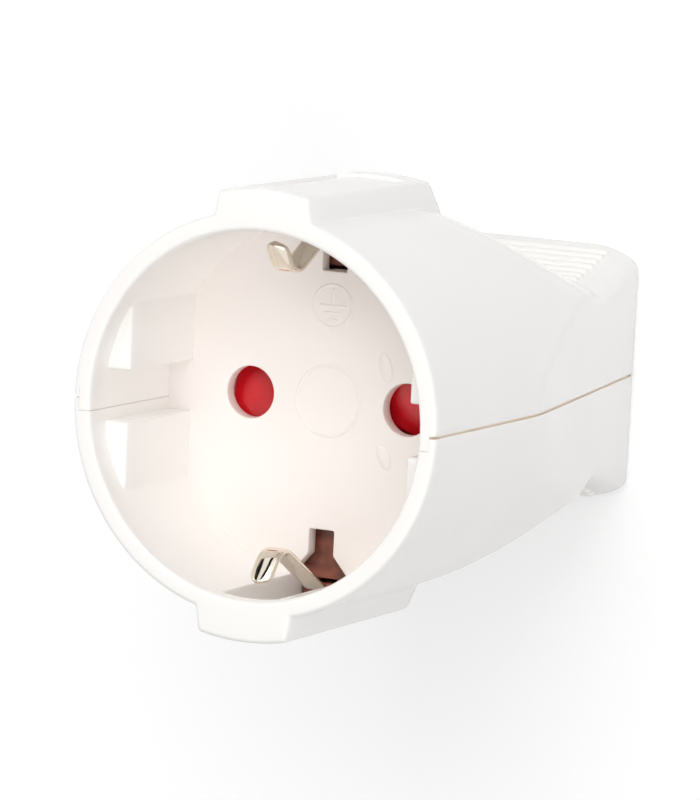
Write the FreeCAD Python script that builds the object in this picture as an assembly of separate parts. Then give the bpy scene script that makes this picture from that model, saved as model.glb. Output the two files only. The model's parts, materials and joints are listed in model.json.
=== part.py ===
"""Inline socket connector for a two-pin earthed plug, in millimetres.

It stands on its cable end with the mouth up: +Z points out of the mouth, X runs across the two pin
holes, and the two shells part along Y = 0. Depths are measured from the rim down into the body.
"""
import FreeCAD, Part
import math
import os

V = FreeCAD.Vector
X_AXIS = V(1, 0, 0)
Y_AXIS = V(0, 1, 0)
Z_AXIS = V(0, 0, 1)
SIDES = (-1, 1)

# Housing form
LENGTH = 66.0
BODY_RADIUS = 21.6
WALL = 2.05
END_WALL = 2.6
TAPER_DEPTH = 25.5
SIDE_TAPER = 7.2
SHOULDER_DEPTH = 29.4
SHOULDER_SLOPE = 0.75
SHOULDER_REACH = 7.0
WAIST_DROP = 10.7
WAIST_REACH = 6.5
FLARE_LENGTH = 14.0
FLARE_REACH = 4.5
TAIL_DROP = 6.8
TAIL_SLOPE = 0.38
GRIP_EDGE_RADIUS = 3.0
TAIL_EDGE_RADIUS = 0.9
RIM_EDGE_RADIUS = 0.5
OVERCUT = 2.0

# Parting line between the shells: an outer shadow gap and an inner lap
SEAM_GAP = 0.3
LAP_DEPTH = 1.45
LAP_CLEARANCE = 0.1

# Bosses over the earth clips
BOSS_HEIGHT = 2.5
BOSS_TOP_HALF_WIDTH = 5.2
BOSS_FOOT_HALF_WIDTH = 5.6
BOSS_LENGTH = 28.6
BOSS_END_SLOPE = 1.6
BOSS_EDGE_RADIUS = 0.4
PANEL_HALF_WIDTH = 4.1
PANEL_DEPTH = 0.4
PANEL_MARGIN = 3.6
CLIP_POCKET_HALF_WIDTH = 3.3
CLIP_POCKET_ROOF = 1.8
CLIP_POCKET_START = 1.6
CLIP_POCKET_END_GAP = 0.5

# Grip ribs
RIB_COUNT = 9
RIB_PITCH = 1.35
RIB_RADIUS = 0.5
RIB_SINK = 0.1
RIB_HALF_LENGTH = 11.4
RIB_END_MARGIN = 2.6

# Plug recess
FLOOR_DEPTH = 17.6
LUG_HEIGHT = 2.85
LUG_FRONT = 3.35
LUG_EDGE_RADIUS = 0.4
KEYWAY_HALF_WIDTH = 2.8

# Contact base: the floor of the recess
BASE_THICKNESS = 1.7
BASE_CLEARANCE = 0.05
PIN_SPACING = 19.0
PIN_HOLE_RADIUS = 2.85
SLOT_NECK_HALF_WIDTH = 1.5
SLOT_NECK_LENGTH = 2.75
SLOT_FLARE_LENGTH = 2.1
SLOT_MARGIN = 0.65
SEAT_THICKNESS = 2.0
SEAT_WIDTH = 2.6
SEAT_NOTCH_CLEARANCE = 0.4

# Shutter chamber, shutter and its spring
CHAMBER_DEPTH = 3.6
CHAMBER_WALL = 1.1
SHUTTER_THICKNESS = 2.4
SHUTTER_RADIUS = 12.6
SHUTTER_GAP = 0.3
SHUTTER_HUB_RADIUS = 4.6
SHUTTER_HALF_ANGLE = 20.0
RAMP_THIN_END = 0.9
POST_RADIUS = 2.5
POST_CLEARANCE = 0.1
SPRING_WIRE_RADIUS = 0.3
SPRING_RADIUS = 3.2
SPRING_LEG_END = 7.4
SPRING_FIXED_ANGLE = 100.0
SPRING_FREE_ANGLE = 10.0
PEG_RADIUS = 0.5
PEG_HEIGHT = 0.65

# Contact carrier, pin contacts and their terminals
CARRIER_PLATE = 3.0
CARRIER_TUBE_RADIUS = 4.2
CARRIER_TUBE_STEP = 1.8
CARRIER_EAR_HALF_WIDTH = 4.8
CARRIER_EAR_MARGIN = 1.2
CARRIER_EAR_GAP = 0.5
CONTACT_LIP = 1.2
CONTACT_OUTER_RADIUS = 3.2
CONTACT_THICKNESS = 0.7
CONTACT_CLEARANCE = 0.1
CONTACT_SLIT = 0.8
CONTACT_COLLAR = 3.6
TONGUE_WIDTH = 4.4
TONGUE_THICKNESS = 0.8
TONGUE_LENGTH = 6.2
TERMINAL_WIDTH = 7.0
TERMINAL_LENGTH = 4.6
TERMINAL_WALL = 1.2
TERMINAL_CLAMP_WALL = 2.2
TERMINAL_APERTURE = 4.6
TERMINAL_GAP = 0.6
TERMINAL_ROOM = 1.4

# Earth contact: one folded strip with a sprung clip at each end
STRIP_THICKNESS = 0.7
STRIP_HALF_WIDTH = 1.35
STRIP_BEND_RADIUS = 1.8
CREST_BEND_RADIUS = 2.6
CLIP_SPRING_ROOM = 1.65
CLIP_TIP_DEPTH = 3.3
CLIP_TIP_REACH = 2.2
CLIP_CREST_DEPTH = 6.5
CLIP_CREST_REACH = 5.9
CLIP_HEEL_DEPTH = 17.0
BRIDGE_PAD_RADIUS = 3.9
EARTH_BLOCK_OFFSET = 9.5
EARTH_BLOCK_WIDTH = 7.0
EARTH_BLOCK_HEIGHT = 6.0
EARTH_BLOCK_LENGTH = 7.5
EARTH_SPIGOT_RADIUS = 0.8
WIRE_BORE_RADIUS = 1.9
WIRE_BORE_DEPTH = 5.9

# Screws
SHANK_RADIUS = 1.45
HEAD_RADIUS = 2.5
HEAD_HEIGHT = 1.8
DRIVE_WIDTH = 0.7
DRIVE_DEPTH = 0.8
SCREW_CLEARANCE = 0.05
HEAD_CLEARANCE = 0.3
TERMINAL_SCREW_REACH = 0.8
BASE_SCREW_COVER = 0.8

# Housing screws and cord clamp
HOUSING_SCREW_X = 11.5
HOUSING_BOSS_RADIUS = 4.0
HOUSING_WELL_DEPTH = 3.3
HOUSING_SCREW_COVER = 4.9
CORD_RADIUS = 4.2
CORD_ENTRY_GAP = 0.4
TAIL_ROOM = 3.9
CLAMP_GAP = 2.3
CLAMP_LENGTH = 5.0
CLAMP_POST_RADIUS = 2.3
CLAMP_SEAT = 2.0
CLAMP_FOOT = 3.0
CLAMP_ARCH = 1.8
CLAMP_SCREW_BITE = 4.0
SADDLE_LENGTH = 2.0
SADDLE_DROP = 0.6

# Radii and offsets that follow from the sizes above
PIN_X = PIN_SPACING / 2
BORE_RADIUS = BODY_RADIUS - WALL
BOSS_RADIUS = BODY_RADIUS + BOSS_HEIGHT
TAIL_HALF_WIDTH = BODY_RADIUS - SIDE_TAPER
TAIL_HALF_HEIGHT = BODY_RADIUS - TAIL_DROP
WAIST_HALF_HEIGHT = BODY_RADIUS - WAIST_DROP
LUG_FLAT = BORE_RADIUS - LUG_HEIGHT
SLOT_SHOULDER = BORE_RADIUS - SLOT_MARGIN
SLOT_NECK_END = SLOT_SHOULDER - SLOT_FLARE_LENGTH
SLOT_START = SLOT_NECK_END - SLOT_NECK_LENGTH
CHAMBER_RADIUS = SHUTTER_RADIUS + SHUTTER_GAP
CARRIER_RADIUS = CHAMBER_RADIUS + CHAMBER_WALL
CLIP_POCKET_TOP = BOSS_RADIUS - CLIP_POCKET_ROOF
ARM_OFFSET = CLIP_POCKET_TOP - CLIP_SPRING_ROOM - STRIP_THICKNESS / 2
CORD_ENTRY_RADIUS = CORD_RADIUS + CORD_ENTRY_GAP
CLAMP_SCREW_X = CORD_RADIUS + CLAMP_ARCH + HEAD_RADIUS
HOUSING_SCREW_SEAT = WAIST_HALF_HEIGHT - HOUSING_WELL_DEPTH
HOUSING_SCREW_TIP = WAIST_HALF_HEIGHT - HOUSING_SCREW_COVER
FAR = 2 * LENGTH

# Depths that follow, from the recess floor back to the earth bridge
BASE_BACK = FLOOR_DEPTH + BASE_THICKNESS
SHUTTER_FRONT = BASE_BACK + SHUTTER_GAP
SHUTTER_BACK = SHUTTER_FRONT + SHUTTER_THICKNESS
CARRIER_FRONT = BASE_BACK + CHAMBER_DEPTH
CARRIER_BACK = CARRIER_FRONT + CARRIER_PLATE
BRIDGE_BACK = CARRIER_BACK + STRIP_THICKNESS

# Depths that follow, from the tail forward to the pin contacts
WAIST_DEPTH = LENGTH - FLARE_LENGTH
CLAMP_BACK = LENGTH - END_WALL - TAIL_ROOM
CLAMP_DEPTH = CLAMP_BACK - CLAMP_LENGTH / 2
HOUSING_SCREW_DEPTH = CLAMP_BACK - CLAMP_LENGTH - CLAMP_GAP - HOUSING_BOSS_RADIUS
TERMINAL_BACK = HOUSING_SCREW_DEPTH - HOUSING_BOSS_RADIUS - TERMINAL_ROOM
TERMINAL_FRONT = TERMINAL_BACK - TERMINAL_LENGTH
CONTACT_FRONT = CARRIER_FRONT + CONTACT_LIP
CONTACT_BACK = TERMINAL_FRONT - TERMINAL_GAP


def z_at(depth):
    """Height of a depth below the rim."""
    return LENGTH - depth


def disc(radius, front, back, x=0.0, y=0.0):
    """Round solid along Z between two depths."""
    return Part.makeCylinder(radius, back - front, V(x, y, z_at(back)))


def slab(x_range, y_range, front, back):
    """Box between two depths."""
    corner = V(x_range[0], y_range[0], z_at(back))
    return Part.makeBox(x_range[1] - x_range[0], y_range[1] - y_range[0], back - front, corner)


def face_of(points):
    """Flat face inside a closed outline."""
    return Part.Face(Part.makePolygon(list(points) + [points[0]]))


def mirrored_y(shape):
    """Copy of a shape on the other side of the parting plane."""
    return shape.mirror(V(0, 0, 0), Y_AXIS)


def plan_form(inset):
    """Space between the two flat sides, which taper towards the tail."""
    tail = TAIL_HALF_WIDTH - inset
    rim = tail + SIDE_TAPER * LENGTH / (LENGTH - TAPER_DEPTH)
    outline = [V(tail, -FAR, 0), V(rim, -FAR, LENGTH), V(-rim, -FAR, LENGTH), V(-tail, -FAR, 0)]
    return face_of(outline).extrude(2 * FAR * Y_AXIS)


def grip_curves(inset):
    """The two curves of the grip's side view: shoulder to waist, and waist to tail."""
    shoulder = V(0, BODY_RADIUS - inset, z_at(SHOULDER_DEPTH))
    waist = V(0, WAIST_HALF_HEIGHT - inset, z_at(WAIST_DEPTH))
    tail = V(0, TAIL_HALF_HEIGHT - inset, 0)
    falling = V(0, -SHOULDER_SLOPE, -1)
    rising = V(0, TAIL_SLOPE, -1)
    drop = Part.BezierCurve()
    drop.setPoles([shoulder, shoulder + SHOULDER_REACH * falling, waist + WAIST_REACH * Z_AXIS, waist])
    flare = Part.BezierCurve()
    flare.setPoles([waist, waist - FLARE_REACH * Z_AXIS, tail - FLARE_REACH * rising, tail])
    return drop, flare


def side_form(inset):
    """Body seen from the side: clear of the barrel at the front, then waisted, then a flared tail."""
    drop, flare = grip_curves(inset)
    tail = flare.EndPoint
    top = drop.StartPoint + SHOULDER_DEPTH * V(0, SHOULDER_SLOPE, 1)
    upper = [Part.makeLine(top, drop.StartPoint), drop.toShape(), flare.toShape()]
    lower = [mirrored_y(edge) for edge in upper]
    ends = [Part.makeLine(tail, V(0, -tail.y, 0)), Part.makeLine(top, V(0, -top.y, LENGTH))]
    outline = Part.Wire(Part.__sortEdges__(upper + lower + ends))
    face = Part.Face(outline)
    face.translate(-FAR * X_AXIS)
    return face.extrude(2 * FAR * X_AXIS)


def body(inset):
    """The housing's form, moved in from the outer skin by a share of the wall."""
    foot = END_WALL * inset / WALL
    barrel = Part.makeCylinder(BODY_RADIUS - inset, LENGTH - foot, V(0, 0, foot))
    return barrel.common(plan_form(inset)).common(side_form(inset))


def edges_between(shape, low, high):
    """Edges of a shape that lie whole between two heights."""
    return [e for e in shape.Edges if low < e.BoundBox.ZMin and e.BoundBox.ZMax < high]


def soft_body():
    """Outer form with the edges of the finger grips, the tail and the rim rounded."""
    block = plan_form(0).common(side_form(0))
    long_edges = [e for e in block.Edges if e.BoundBox.ZLength > WALL]
    block = block.makeFillet(GRIP_EDGE_RADIUS, long_edges)
    form = block.common(Part.makeCylinder(BODY_RADIUS, LENGTH))
    form = form.makeFillet(TAIL_EDGE_RADIUS, edges_between(form, -WALL, WALL))
    return form.makeFillet(RIM_EDGE_RADIUS, edges_between(form, LENGTH - WALL, LENGTH + WALL))


def mouth_round():
    """What the rounded inner edge of the rim takes away."""
    radius = RIM_EDGE_RADIUS
    corner = V(BORE_RADIUS, 0, LENGTH)
    outer = corner + radius * X_AXIS
    lower = corner - radius * Z_AXIS
    middle = outer - radius * Z_AXIS + radius * (Z_AXIS - X_AXIS).normalize()
    arc = Part.Arc(outer, middle, lower).toShape()
    outline = Part.Wire([Part.makeLine(lower, corner), Part.makeLine(corner, outer), arc])
    return Part.Face(outline).revolve(V(0, 0, 0), Z_AXIS, 360)


def clip_boss():
    """Raised boss over the upper earth clip, with drafted sides and a sloping end."""
    root = BODY_RADIUS - WALL / 2
    draft = (BOSS_FOOT_HALF_WIDTH - BOSS_TOP_HALF_WIDTH) / (BOSS_RADIUS - BODY_RADIUS)
    crown = BOSS_RADIUS + OVERCUT
    foot_half = BOSS_FOOT_HALF_WIDTH + draft * (BODY_RADIUS - root)
    crown_half = BOSS_TOP_HALF_WIDTH - draft * OVERCUT
    section = [(-foot_half, root), (foot_half, root), (crown_half, crown), (-crown_half, crown)]
    wedge = face_of([V(x, y, 0) for x, y in section]).extrude(LENGTH * Z_AXIS)
    lean = BOSS_END_SLOPE / (BOSS_RADIUS - BODY_RADIUS)
    foot_depth = BOSS_LENGTH + lean * (BOSS_RADIUS - root)
    crown_depth = BOSS_LENGTH - lean * OVERCUT
    profile = [(root, 0), (crown, 0), (crown, crown_depth), (root, foot_depth)]
    side = face_of([V(-FAR, y, z_at(depth)) for y, depth in profile]).extrude(2 * FAR * X_AXIS)
    boss = wedge.common(side).common(disc(BOSS_RADIUS, 0, LENGTH))
    above = [e for e in boss.Edges if e.BoundBox.YMax > BODY_RADIUS]
    return boss.makeFillet(BOSS_EDGE_RADIUS, above)


def panel_recess():
    """Shallow bare panel sunk in the upper boss."""
    half = PANEL_HALF_WIDTH
    block = slab((-half, half), (0, BOSS_RADIUS), PANEL_MARGIN, BOSS_LENGTH - PANEL_MARGIN)
    return block.cut(disc(BOSS_RADIUS - PANEL_DEPTH, 0, LENGTH))


def grip_ribs():
    """Crosswise ribs on the upper finger grip, evenly spaced along the flare."""
    flare = grip_curves(0)[1].toShape()
    last = flare.Length - RIB_END_MARGIN
    ribs = []
    for number in range(RIB_COUNT):
        parameter = flare.getParameterByLength(last - number * RIB_PITCH)
        on_skin = flare.valueAt(parameter)
        start = on_skin - RIB_SINK * Y_AXIS - RIB_HALF_LENGTH * X_AXIS
        ribs.append(Part.makeCylinder(RIB_RADIUS, 2 * RIB_HALF_LENGTH, start, X_AXIS))
    return ribs


def guide_lugs():
    """Four lugs with flat faces that leave a keyway on each side of the recess."""
    lugs = []
    for side in SIDES:
        for level in SIDES:
            x_range = sorted((side * LUG_FLAT, side * BODY_RADIUS))
            y_range = sorted((level * KEYWAY_HALF_WIDTH, level * BODY_RADIUS))
            lug = slab(x_range, y_range, LUG_FRONT, FLOOR_DEPTH)
            corner = V(side * LUG_FLAT, level * KEYWAY_HALF_WIDTH, z_at(LUG_FRONT))
            exposed = [e for e in lug.Edges if e.distToShape(Part.Vertex(corner))[0] < LAP_CLEARANCE]
            lugs.append(lug.makeFillet(LUG_EDGE_RADIUS, exposed))
    return lugs


def seat_ring():
    """Ledge that carries the contact base, notched where the carrier's ears and the earth arms pass."""
    notch = CARRIER_EAR_HALF_WIDTH + SEAT_NOTCH_CLEARANCE
    ring = disc(BODY_RADIUS, BASE_BACK, BASE_BACK + SEAT_THICKNESS)
    ring = ring.cut(disc(BORE_RADIUS - SEAT_WIDTH, BASE_BACK, BASE_BACK + SEAT_THICKNESS))
    return ring.cut(slab((-notch, notch), (-BODY_RADIUS, BODY_RADIUS), 0, LENGTH))


def upright(radius, x, depth, y_range):
    """Round solid along Y."""
    start = V(x, y_range[0], z_at(depth))
    return Part.makeCylinder(radius, y_range[1] - y_range[0], start, Y_AXIS)


def housing_bosses():
    """Pillars for the screws that hold the shells together."""
    reach = (-BODY_RADIUS, BODY_RADIUS)
    return [
        upright(HOUSING_BOSS_RADIUS, side * HOUSING_SCREW_X, HOUSING_SCREW_DEPTH, reach) for side in SIDES
    ]


def clamp_posts():
    """Posts in the lower shell for the cord clamp, and the saddle under the cord."""
    reach = (-BODY_RADIUS, -CLAMP_SEAT)
    posts = [upright(CLAMP_POST_RADIUS, side * CLAMP_SCREW_X, CLAMP_DEPTH, reach) for side in SIDES]
    front = CLAMP_DEPTH - SADDLE_LENGTH / 2
    top = -CLAMP_SEAT - SADDLE_DROP
    saddle = slab((-CLAMP_SCREW_X, CLAMP_SCREW_X), (-BODY_RADIUS, top), front, front + SADDLE_LENGTH)
    return posts + [saddle.cut(disc(CORD_RADIUS, 0, LENGTH))]


def screw_holes():
    """Everything the housing and clamp screws need cut out of the shells."""
    hole = SHANK_RADIUS + SCREW_CLEARANCE
    head = HEAD_RADIUS + HEAD_CLEARANCE
    tools = []
    for side in SIDES:
        x = side * HOUSING_SCREW_X
        bore = (-HOUSING_SCREW_SEAT, HOUSING_SCREW_TIP + SCREW_CLEARANCE)
        tools.append(upright(hole, x, HOUSING_SCREW_DEPTH, bore))
        tools.append(upright(head, x, HOUSING_SCREW_DEPTH, (-BODY_RADIUS, -HOUSING_SCREW_SEAT)))
        pilot = (-CLAMP_SEAT - CLAMP_SCREW_BITE - SCREW_CLEARANCE, -CLAMP_SEAT)
        tools.append(upright(hole, side * CLAMP_SCREW_X, CLAMP_DEPTH, pilot))
    return tools


def clip_pockets():
    """Room under each boss for the earth clip to spring back."""
    half = CLIP_POCKET_HALF_WIDTH
    end = BRIDGE_BACK + CLIP_POCKET_END_GAP
    pocket = slab((-half, half), (BORE_RADIUS - WALL, CLIP_POCKET_TOP), CLIP_POCKET_START, end)
    return [pocket, mirrored_y(pocket)]


def housing():
    """Both shells in one piece, before the seam is cut."""
    boss = clip_boss()
    ribs = grip_ribs()
    outer = soft_body().fuse([boss, mirrored_y(boss)] + ribs + [mirrored_y(rib) for rib in ribs])
    shell = outer.cut(panel_recess()).cut([body(WALL), mouth_round()])
    inside = guide_lugs() + [seat_ring()] + housing_bosses() + clamp_posts()
    to_mid_wall = body(WALL / 2)
    shell = shell.fuse([piece.common(to_mid_wall) for piece in inside])
    entry = disc(CORD_ENTRY_RADIUS, LENGTH - 2 * END_WALL, LENGTH)
    return shell.cut(clip_pockets() + screw_holes() + [entry])


def shells():
    """Upper and lower shell, parted by a shadow gap outside and a lap inside."""
    whole = housing()
    half_gap = SEAM_GAP / 2
    everywhere = (-FAR, FAR)
    above = slab(everywhere, (half_gap, FAR), -LENGTH, FAR)
    below = slab(everywhere, (-FAR, -half_gap), -LENGTH, FAR)
    lap = slab(everywhere, (-LAP_DEPTH, half_gap), -LENGTH, FAR)
    tongue = body((WALL + LAP_CLEARANCE) / 2).common(lap)
    rebate = body((WALL - LAP_CLEARANCE) / 2).common(lap)
    upper = whole.common(above.fuse(tongue))
    lower = whole.common(below.cut(rebate))
    return upper.removeSplitter(), lower.removeSplitter()


def contact_base():
    """Floor of the plug recess, with pin holes, earth slots, the shutter chamber and its post."""
    plate = disc(BORE_RADIUS - BASE_CLEARANCE, FLOOR_DEPTH, BASE_BACK)
    chamber = disc(CARRIER_RADIUS, BASE_BACK, CARRIER_FRONT).cut(disc(CHAMBER_RADIUS, 0, LENGTH))
    post = disc(POST_RADIUS, BASE_BACK, CARRIER_FRONT)
    base = plate.fuse([chamber, post])
    outline = [
        (SLOT_NECK_HALF_WIDTH, SLOT_START),
        (SLOT_NECK_HALF_WIDTH, SLOT_NECK_END),
        (CLIP_POCKET_HALF_WIDTH, SLOT_SHOULDER),
        (CLIP_POCKET_HALF_WIDTH, BODY_RADIUS),
    ]
    outline += [(-x, y) for x, y in reversed(outline)]
    slot = face_of([V(x, y, z_at(BASE_BACK)) for x, y in outline]).extrude(BASE_THICKNESS * Z_AXIS)
    holes = [disc(PIN_HOLE_RADIUS, FLOOR_DEPTH, BASE_BACK, side * PIN_X) for side in SIDES]
    pilot = disc(SHANK_RADIUS + SCREW_CLEARANCE, FLOOR_DEPTH + BASE_SCREW_COVER, CARRIER_FRONT)
    return base.cut(holes + [slot, mirrored_y(slot), pilot]).removeSplitter()


def shutter():
    """Turning shutter: two ramped wings that both pins have to push aside together."""
    hub = disc(SHUTTER_HUB_RADIUS, SHUTTER_FRONT, SHUTTER_BACK)
    half = math.radians(SHUTTER_HALF_ANGLE)
    reach = SHUTTER_RADIUS / math.cos(half)
    low = z_at(SHUTTER_BACK)
    corners = [V(0, 0, low)]
    corners += [V(reach * math.cos(half), side * reach * math.sin(half), low) for side in SIDES]
    wing = face_of(corners).extrude(SHUTTER_THICKNESS * Z_AXIS)
    wing = wing.common(disc(SHUTTER_RADIUS, SHUTTER_FRONT, SHUTTER_BACK))
    edge = SHUTTER_RADIUS * math.sin(half)
    thin = z_at(SHUTTER_BACK) + RAMP_THIN_END
    thick = z_at(SHUTTER_FRONT)
    ramp = face_of([V(0, -edge, thin), V(0, edge, thick), V(0, -edge, thick)]).extrude(FAR * X_AXIS)
    wing = wing.cut(ramp)
    other = wing.copy()
    other.rotate(V(0, 0, 0), Z_AXIS, 180)
    bore = disc(POST_RADIUS + POST_CLEARANCE, 0, LENGTH)
    peg = spring_peg(SPRING_FREE_ANGLE, -1, SHUTTER_BACK, SHUTTER_BACK + PEG_HEIGHT)
    return hub.fuse([wing, other, peg]).cut(bore).removeSplitter()


def around(radius, degrees, z=0.0):
    """Point at an angle about the socket's axis."""
    angle = math.radians(degrees)
    return V(radius * math.cos(angle), radius * math.sin(angle), z)


def spring_peg(leg_angle, side, front, back):
    """Peg that stands against one side of a spring leg, near its end."""
    offset = PEG_RADIUS + SPRING_WIRE_RADIUS + SCREW_CLEARANCE
    reach = SPRING_LEG_END - PEG_RADIUS
    turn = math.degrees(math.atan2(side * offset, reach))
    place = around(math.hypot(reach, offset), leg_angle + turn)
    return disc(PEG_RADIUS, front, back, place.x, place.y)


def shutter_spring():
    """Wire spring round the post: one leg against the carrier's peg, the other against the shutter's."""
    level = z_at((SHUTTER_BACK + CARRIER_FRONT) / 2)
    centre = V(0, 0, level)
    sweep = 360 + SPRING_FREE_ANGLE - SPRING_FIXED_ANGLE
    coil = Part.makeTorus(SPRING_RADIUS, SPRING_WIRE_RADIUS, centre, Z_AXIS, 0, 360, sweep)
    coil.rotate(centre, Z_AXIS, SPRING_FIXED_ANGLE)
    legs = []
    for angle in (SPRING_FIXED_ANGLE, SPRING_FREE_ANGLE):
        start = around(SPRING_RADIUS, angle, level)
        legs.append(Part.makeSphere(SPRING_WIRE_RADIUS, start))
        length = SPRING_LEG_END - SPRING_RADIUS
        legs.append(Part.makeCylinder(SPRING_WIRE_RADIUS, length, start, around(1, angle)))
    return coil.fuse(legs)


def contact_carrier():
    """Moulded block that holds the two pin contacts, with an ear behind each earth slot."""
    carrier = disc(CARRIER_RADIUS, CARRIER_FRONT, CARRIER_BACK)
    ear_start = CARRIER_RADIUS + CARRIER_EAR_GAP
    ear_front = BASE_BACK + CARRIER_EAR_GAP
    half = CARRIER_EAR_HALF_WIDTH
    web = slab((-half, half), (0, BORE_RADIUS), CARRIER_FRONT, CARRIER_BACK)
    ear = web.fuse(slab((-half, half), (ear_start, BORE_RADIUS), ear_front, CARRIER_BACK))
    ear = ear.common(disc(BORE_RADIUS - CARRIER_EAR_MARGIN, 0, LENGTH))
    carrier = carrier.fuse([ear, mirrored_y(ear)])
    tools = [disc(SHANK_RADIUS + SCREW_CLEARANCE, 0, LENGTH)]
    tubes = []
    for side in SIDES:
        x = side * PIN_X
        tubes.append(disc(CARRIER_TUBE_RADIUS, CARRIER_BACK, CONTACT_BACK - CARRIER_TUBE_STEP, x))
        tools.append(disc(PIN_HOLE_RADIUS, CARRIER_FRONT, CONTACT_FRONT, x))
        tools.append(disc(CONTACT_OUTER_RADIUS + CONTACT_CLEARANCE, CONTACT_FRONT, LENGTH, x))
    peg = spring_peg(SPRING_FIXED_ANGLE, 1, CARRIER_FRONT - PEG_HEIGHT, CARRIER_FRONT)
    return carrier.fuse(tubes).cut(tools).fuse(peg).removeSplitter()


def tongue_level():
    """Y of the underside of a contact's tongue."""
    return -CONTACT_OUTER_RADIUS


def pin_contact(side):
    """Rolled brass sleeve, slit to grip the pin, with a tongue for its terminal."""
    x = side * PIN_X
    sleeve = disc(CONTACT_OUTER_RADIUS, CONTACT_FRONT, CONTACT_BACK, x)
    bore = disc(CONTACT_OUTER_RADIUS - CONTACT_THICKNESS, CONTACT_FRONT, CONTACT_BACK, x)
    half_slit = CONTACT_SLIT / 2
    slit_end = CONTACT_BACK - CONTACT_COLLAR
    slit = slab((x - half_slit, x + half_slit), (-BODY_RADIUS, BODY_RADIUS), CONTACT_FRONT, slit_end)
    half = TONGUE_WIDTH / 2
    level = tongue_level()
    start = CONTACT_BACK - CONTACT_THICKNESS
    tongue = slab((x - half, x + half), (level, level + TONGUE_THICKNESS), start, start + TONGUE_LENGTH)
    return sleeve.cut([bore, slit]).fuse(tongue.cut(bore)).removeSplitter()


def pin_terminal(side):
    """Box clamp on the tongue, with a tapped hole for its screw."""
    x = side * PIN_X
    floor = tongue_level()
    roof = floor + TERMINAL_APERTURE
    half = TERMINAL_WIDTH / 2
    inner = half - TERMINAL_WALL
    top = roof + TERMINAL_CLAMP_WALL
    block = slab((x - half, x + half), (floor - TERMINAL_WALL, top), TERMINAL_FRONT, TERMINAL_BACK)
    aperture = slab((x - inner, x + inner), (floor, roof), TERMINAL_FRONT, TERMINAL_BACK)
    middle = (TERMINAL_FRONT + TERMINAL_BACK) / 2
    tapped = upright(SHANK_RADIUS + SCREW_CLEARANCE, x, middle, (roof, top))
    return block.cut([aperture, tapped])


def screw(length):
    """Slotted cheese-head screw along Z: its head stands on Z = 0 and its shank hangs below."""
    head = Part.makeCylinder(HEAD_RADIUS, HEAD_HEIGHT)
    drive = Part.makeBox(2 * HEAD_RADIUS, DRIVE_WIDTH, DRIVE_DEPTH)
    drive.translate(V(-HEAD_RADIUS, -DRIVE_WIDTH / 2, HEAD_HEIGHT - DRIVE_DEPTH))
    shank = Part.makeCylinder(SHANK_RADIUS, length, V(0, 0, -length))
    return head.cut(drive).fuse(shank)


def screw_along(length, place, head_direction):
    """Screw with its head's underside at a place, the head pointing in a direction."""
    turned = screw(length)
    turned.Placement = FreeCAD.Placement(place, FreeCAD.Rotation(Z_AXIS, head_direction))
    return turned


def terminal_screw(side):
    """Screw of a pin terminal."""
    top = tongue_level() + TERMINAL_APERTURE + TERMINAL_CLAMP_WALL
    place = V(side * PIN_X, top, z_at((TERMINAL_FRONT + TERMINAL_BACK) / 2))
    return screw_along(TERMINAL_CLAMP_WALL + TERMINAL_SCREW_REACH, place, Y_AXIS)


def bent_outline(points, bends, shift):
    """Edges of a folded line moved sideways by a shift, with a round bend at each corner, in the YZ plane."""
    runs = [(b - a).normalize() for a, b in zip(points, points[1:])]
    normals = [X_AXIS.cross(run) for run in runs]
    edges = []
    start = points[0] + shift * normals[0]
    corners = zip(points[1:], bends, runs, runs[1:], normals, normals[1:])
    for corner, bend, before, after, n1, n2 in corners:
        turn = before.getAngle(after)
        left = X_AXIS.dot(before.cross(after)) > 0
        radius = bend - shift if left else bend + shift
        tip = corner + shift / (1 + n1.dot(n2)) * (n1 + n2)
        setback = radius * math.tan(turn / 2)
        sagitta = radius / math.cos(turn / 2) - radius
        inward = (after - before).normalize()
        edges.append(Part.makeLine(start, tip - setback * before))
        arc = Part.Arc(tip - setback * before, tip + sagitta * inward, tip + setback * after)
        edges.append(arc.toShape())
        start = tip + setback * after
    edges.append(Part.makeLine(start, points[-1] + shift * normals[-1]))
    return edges


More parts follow.
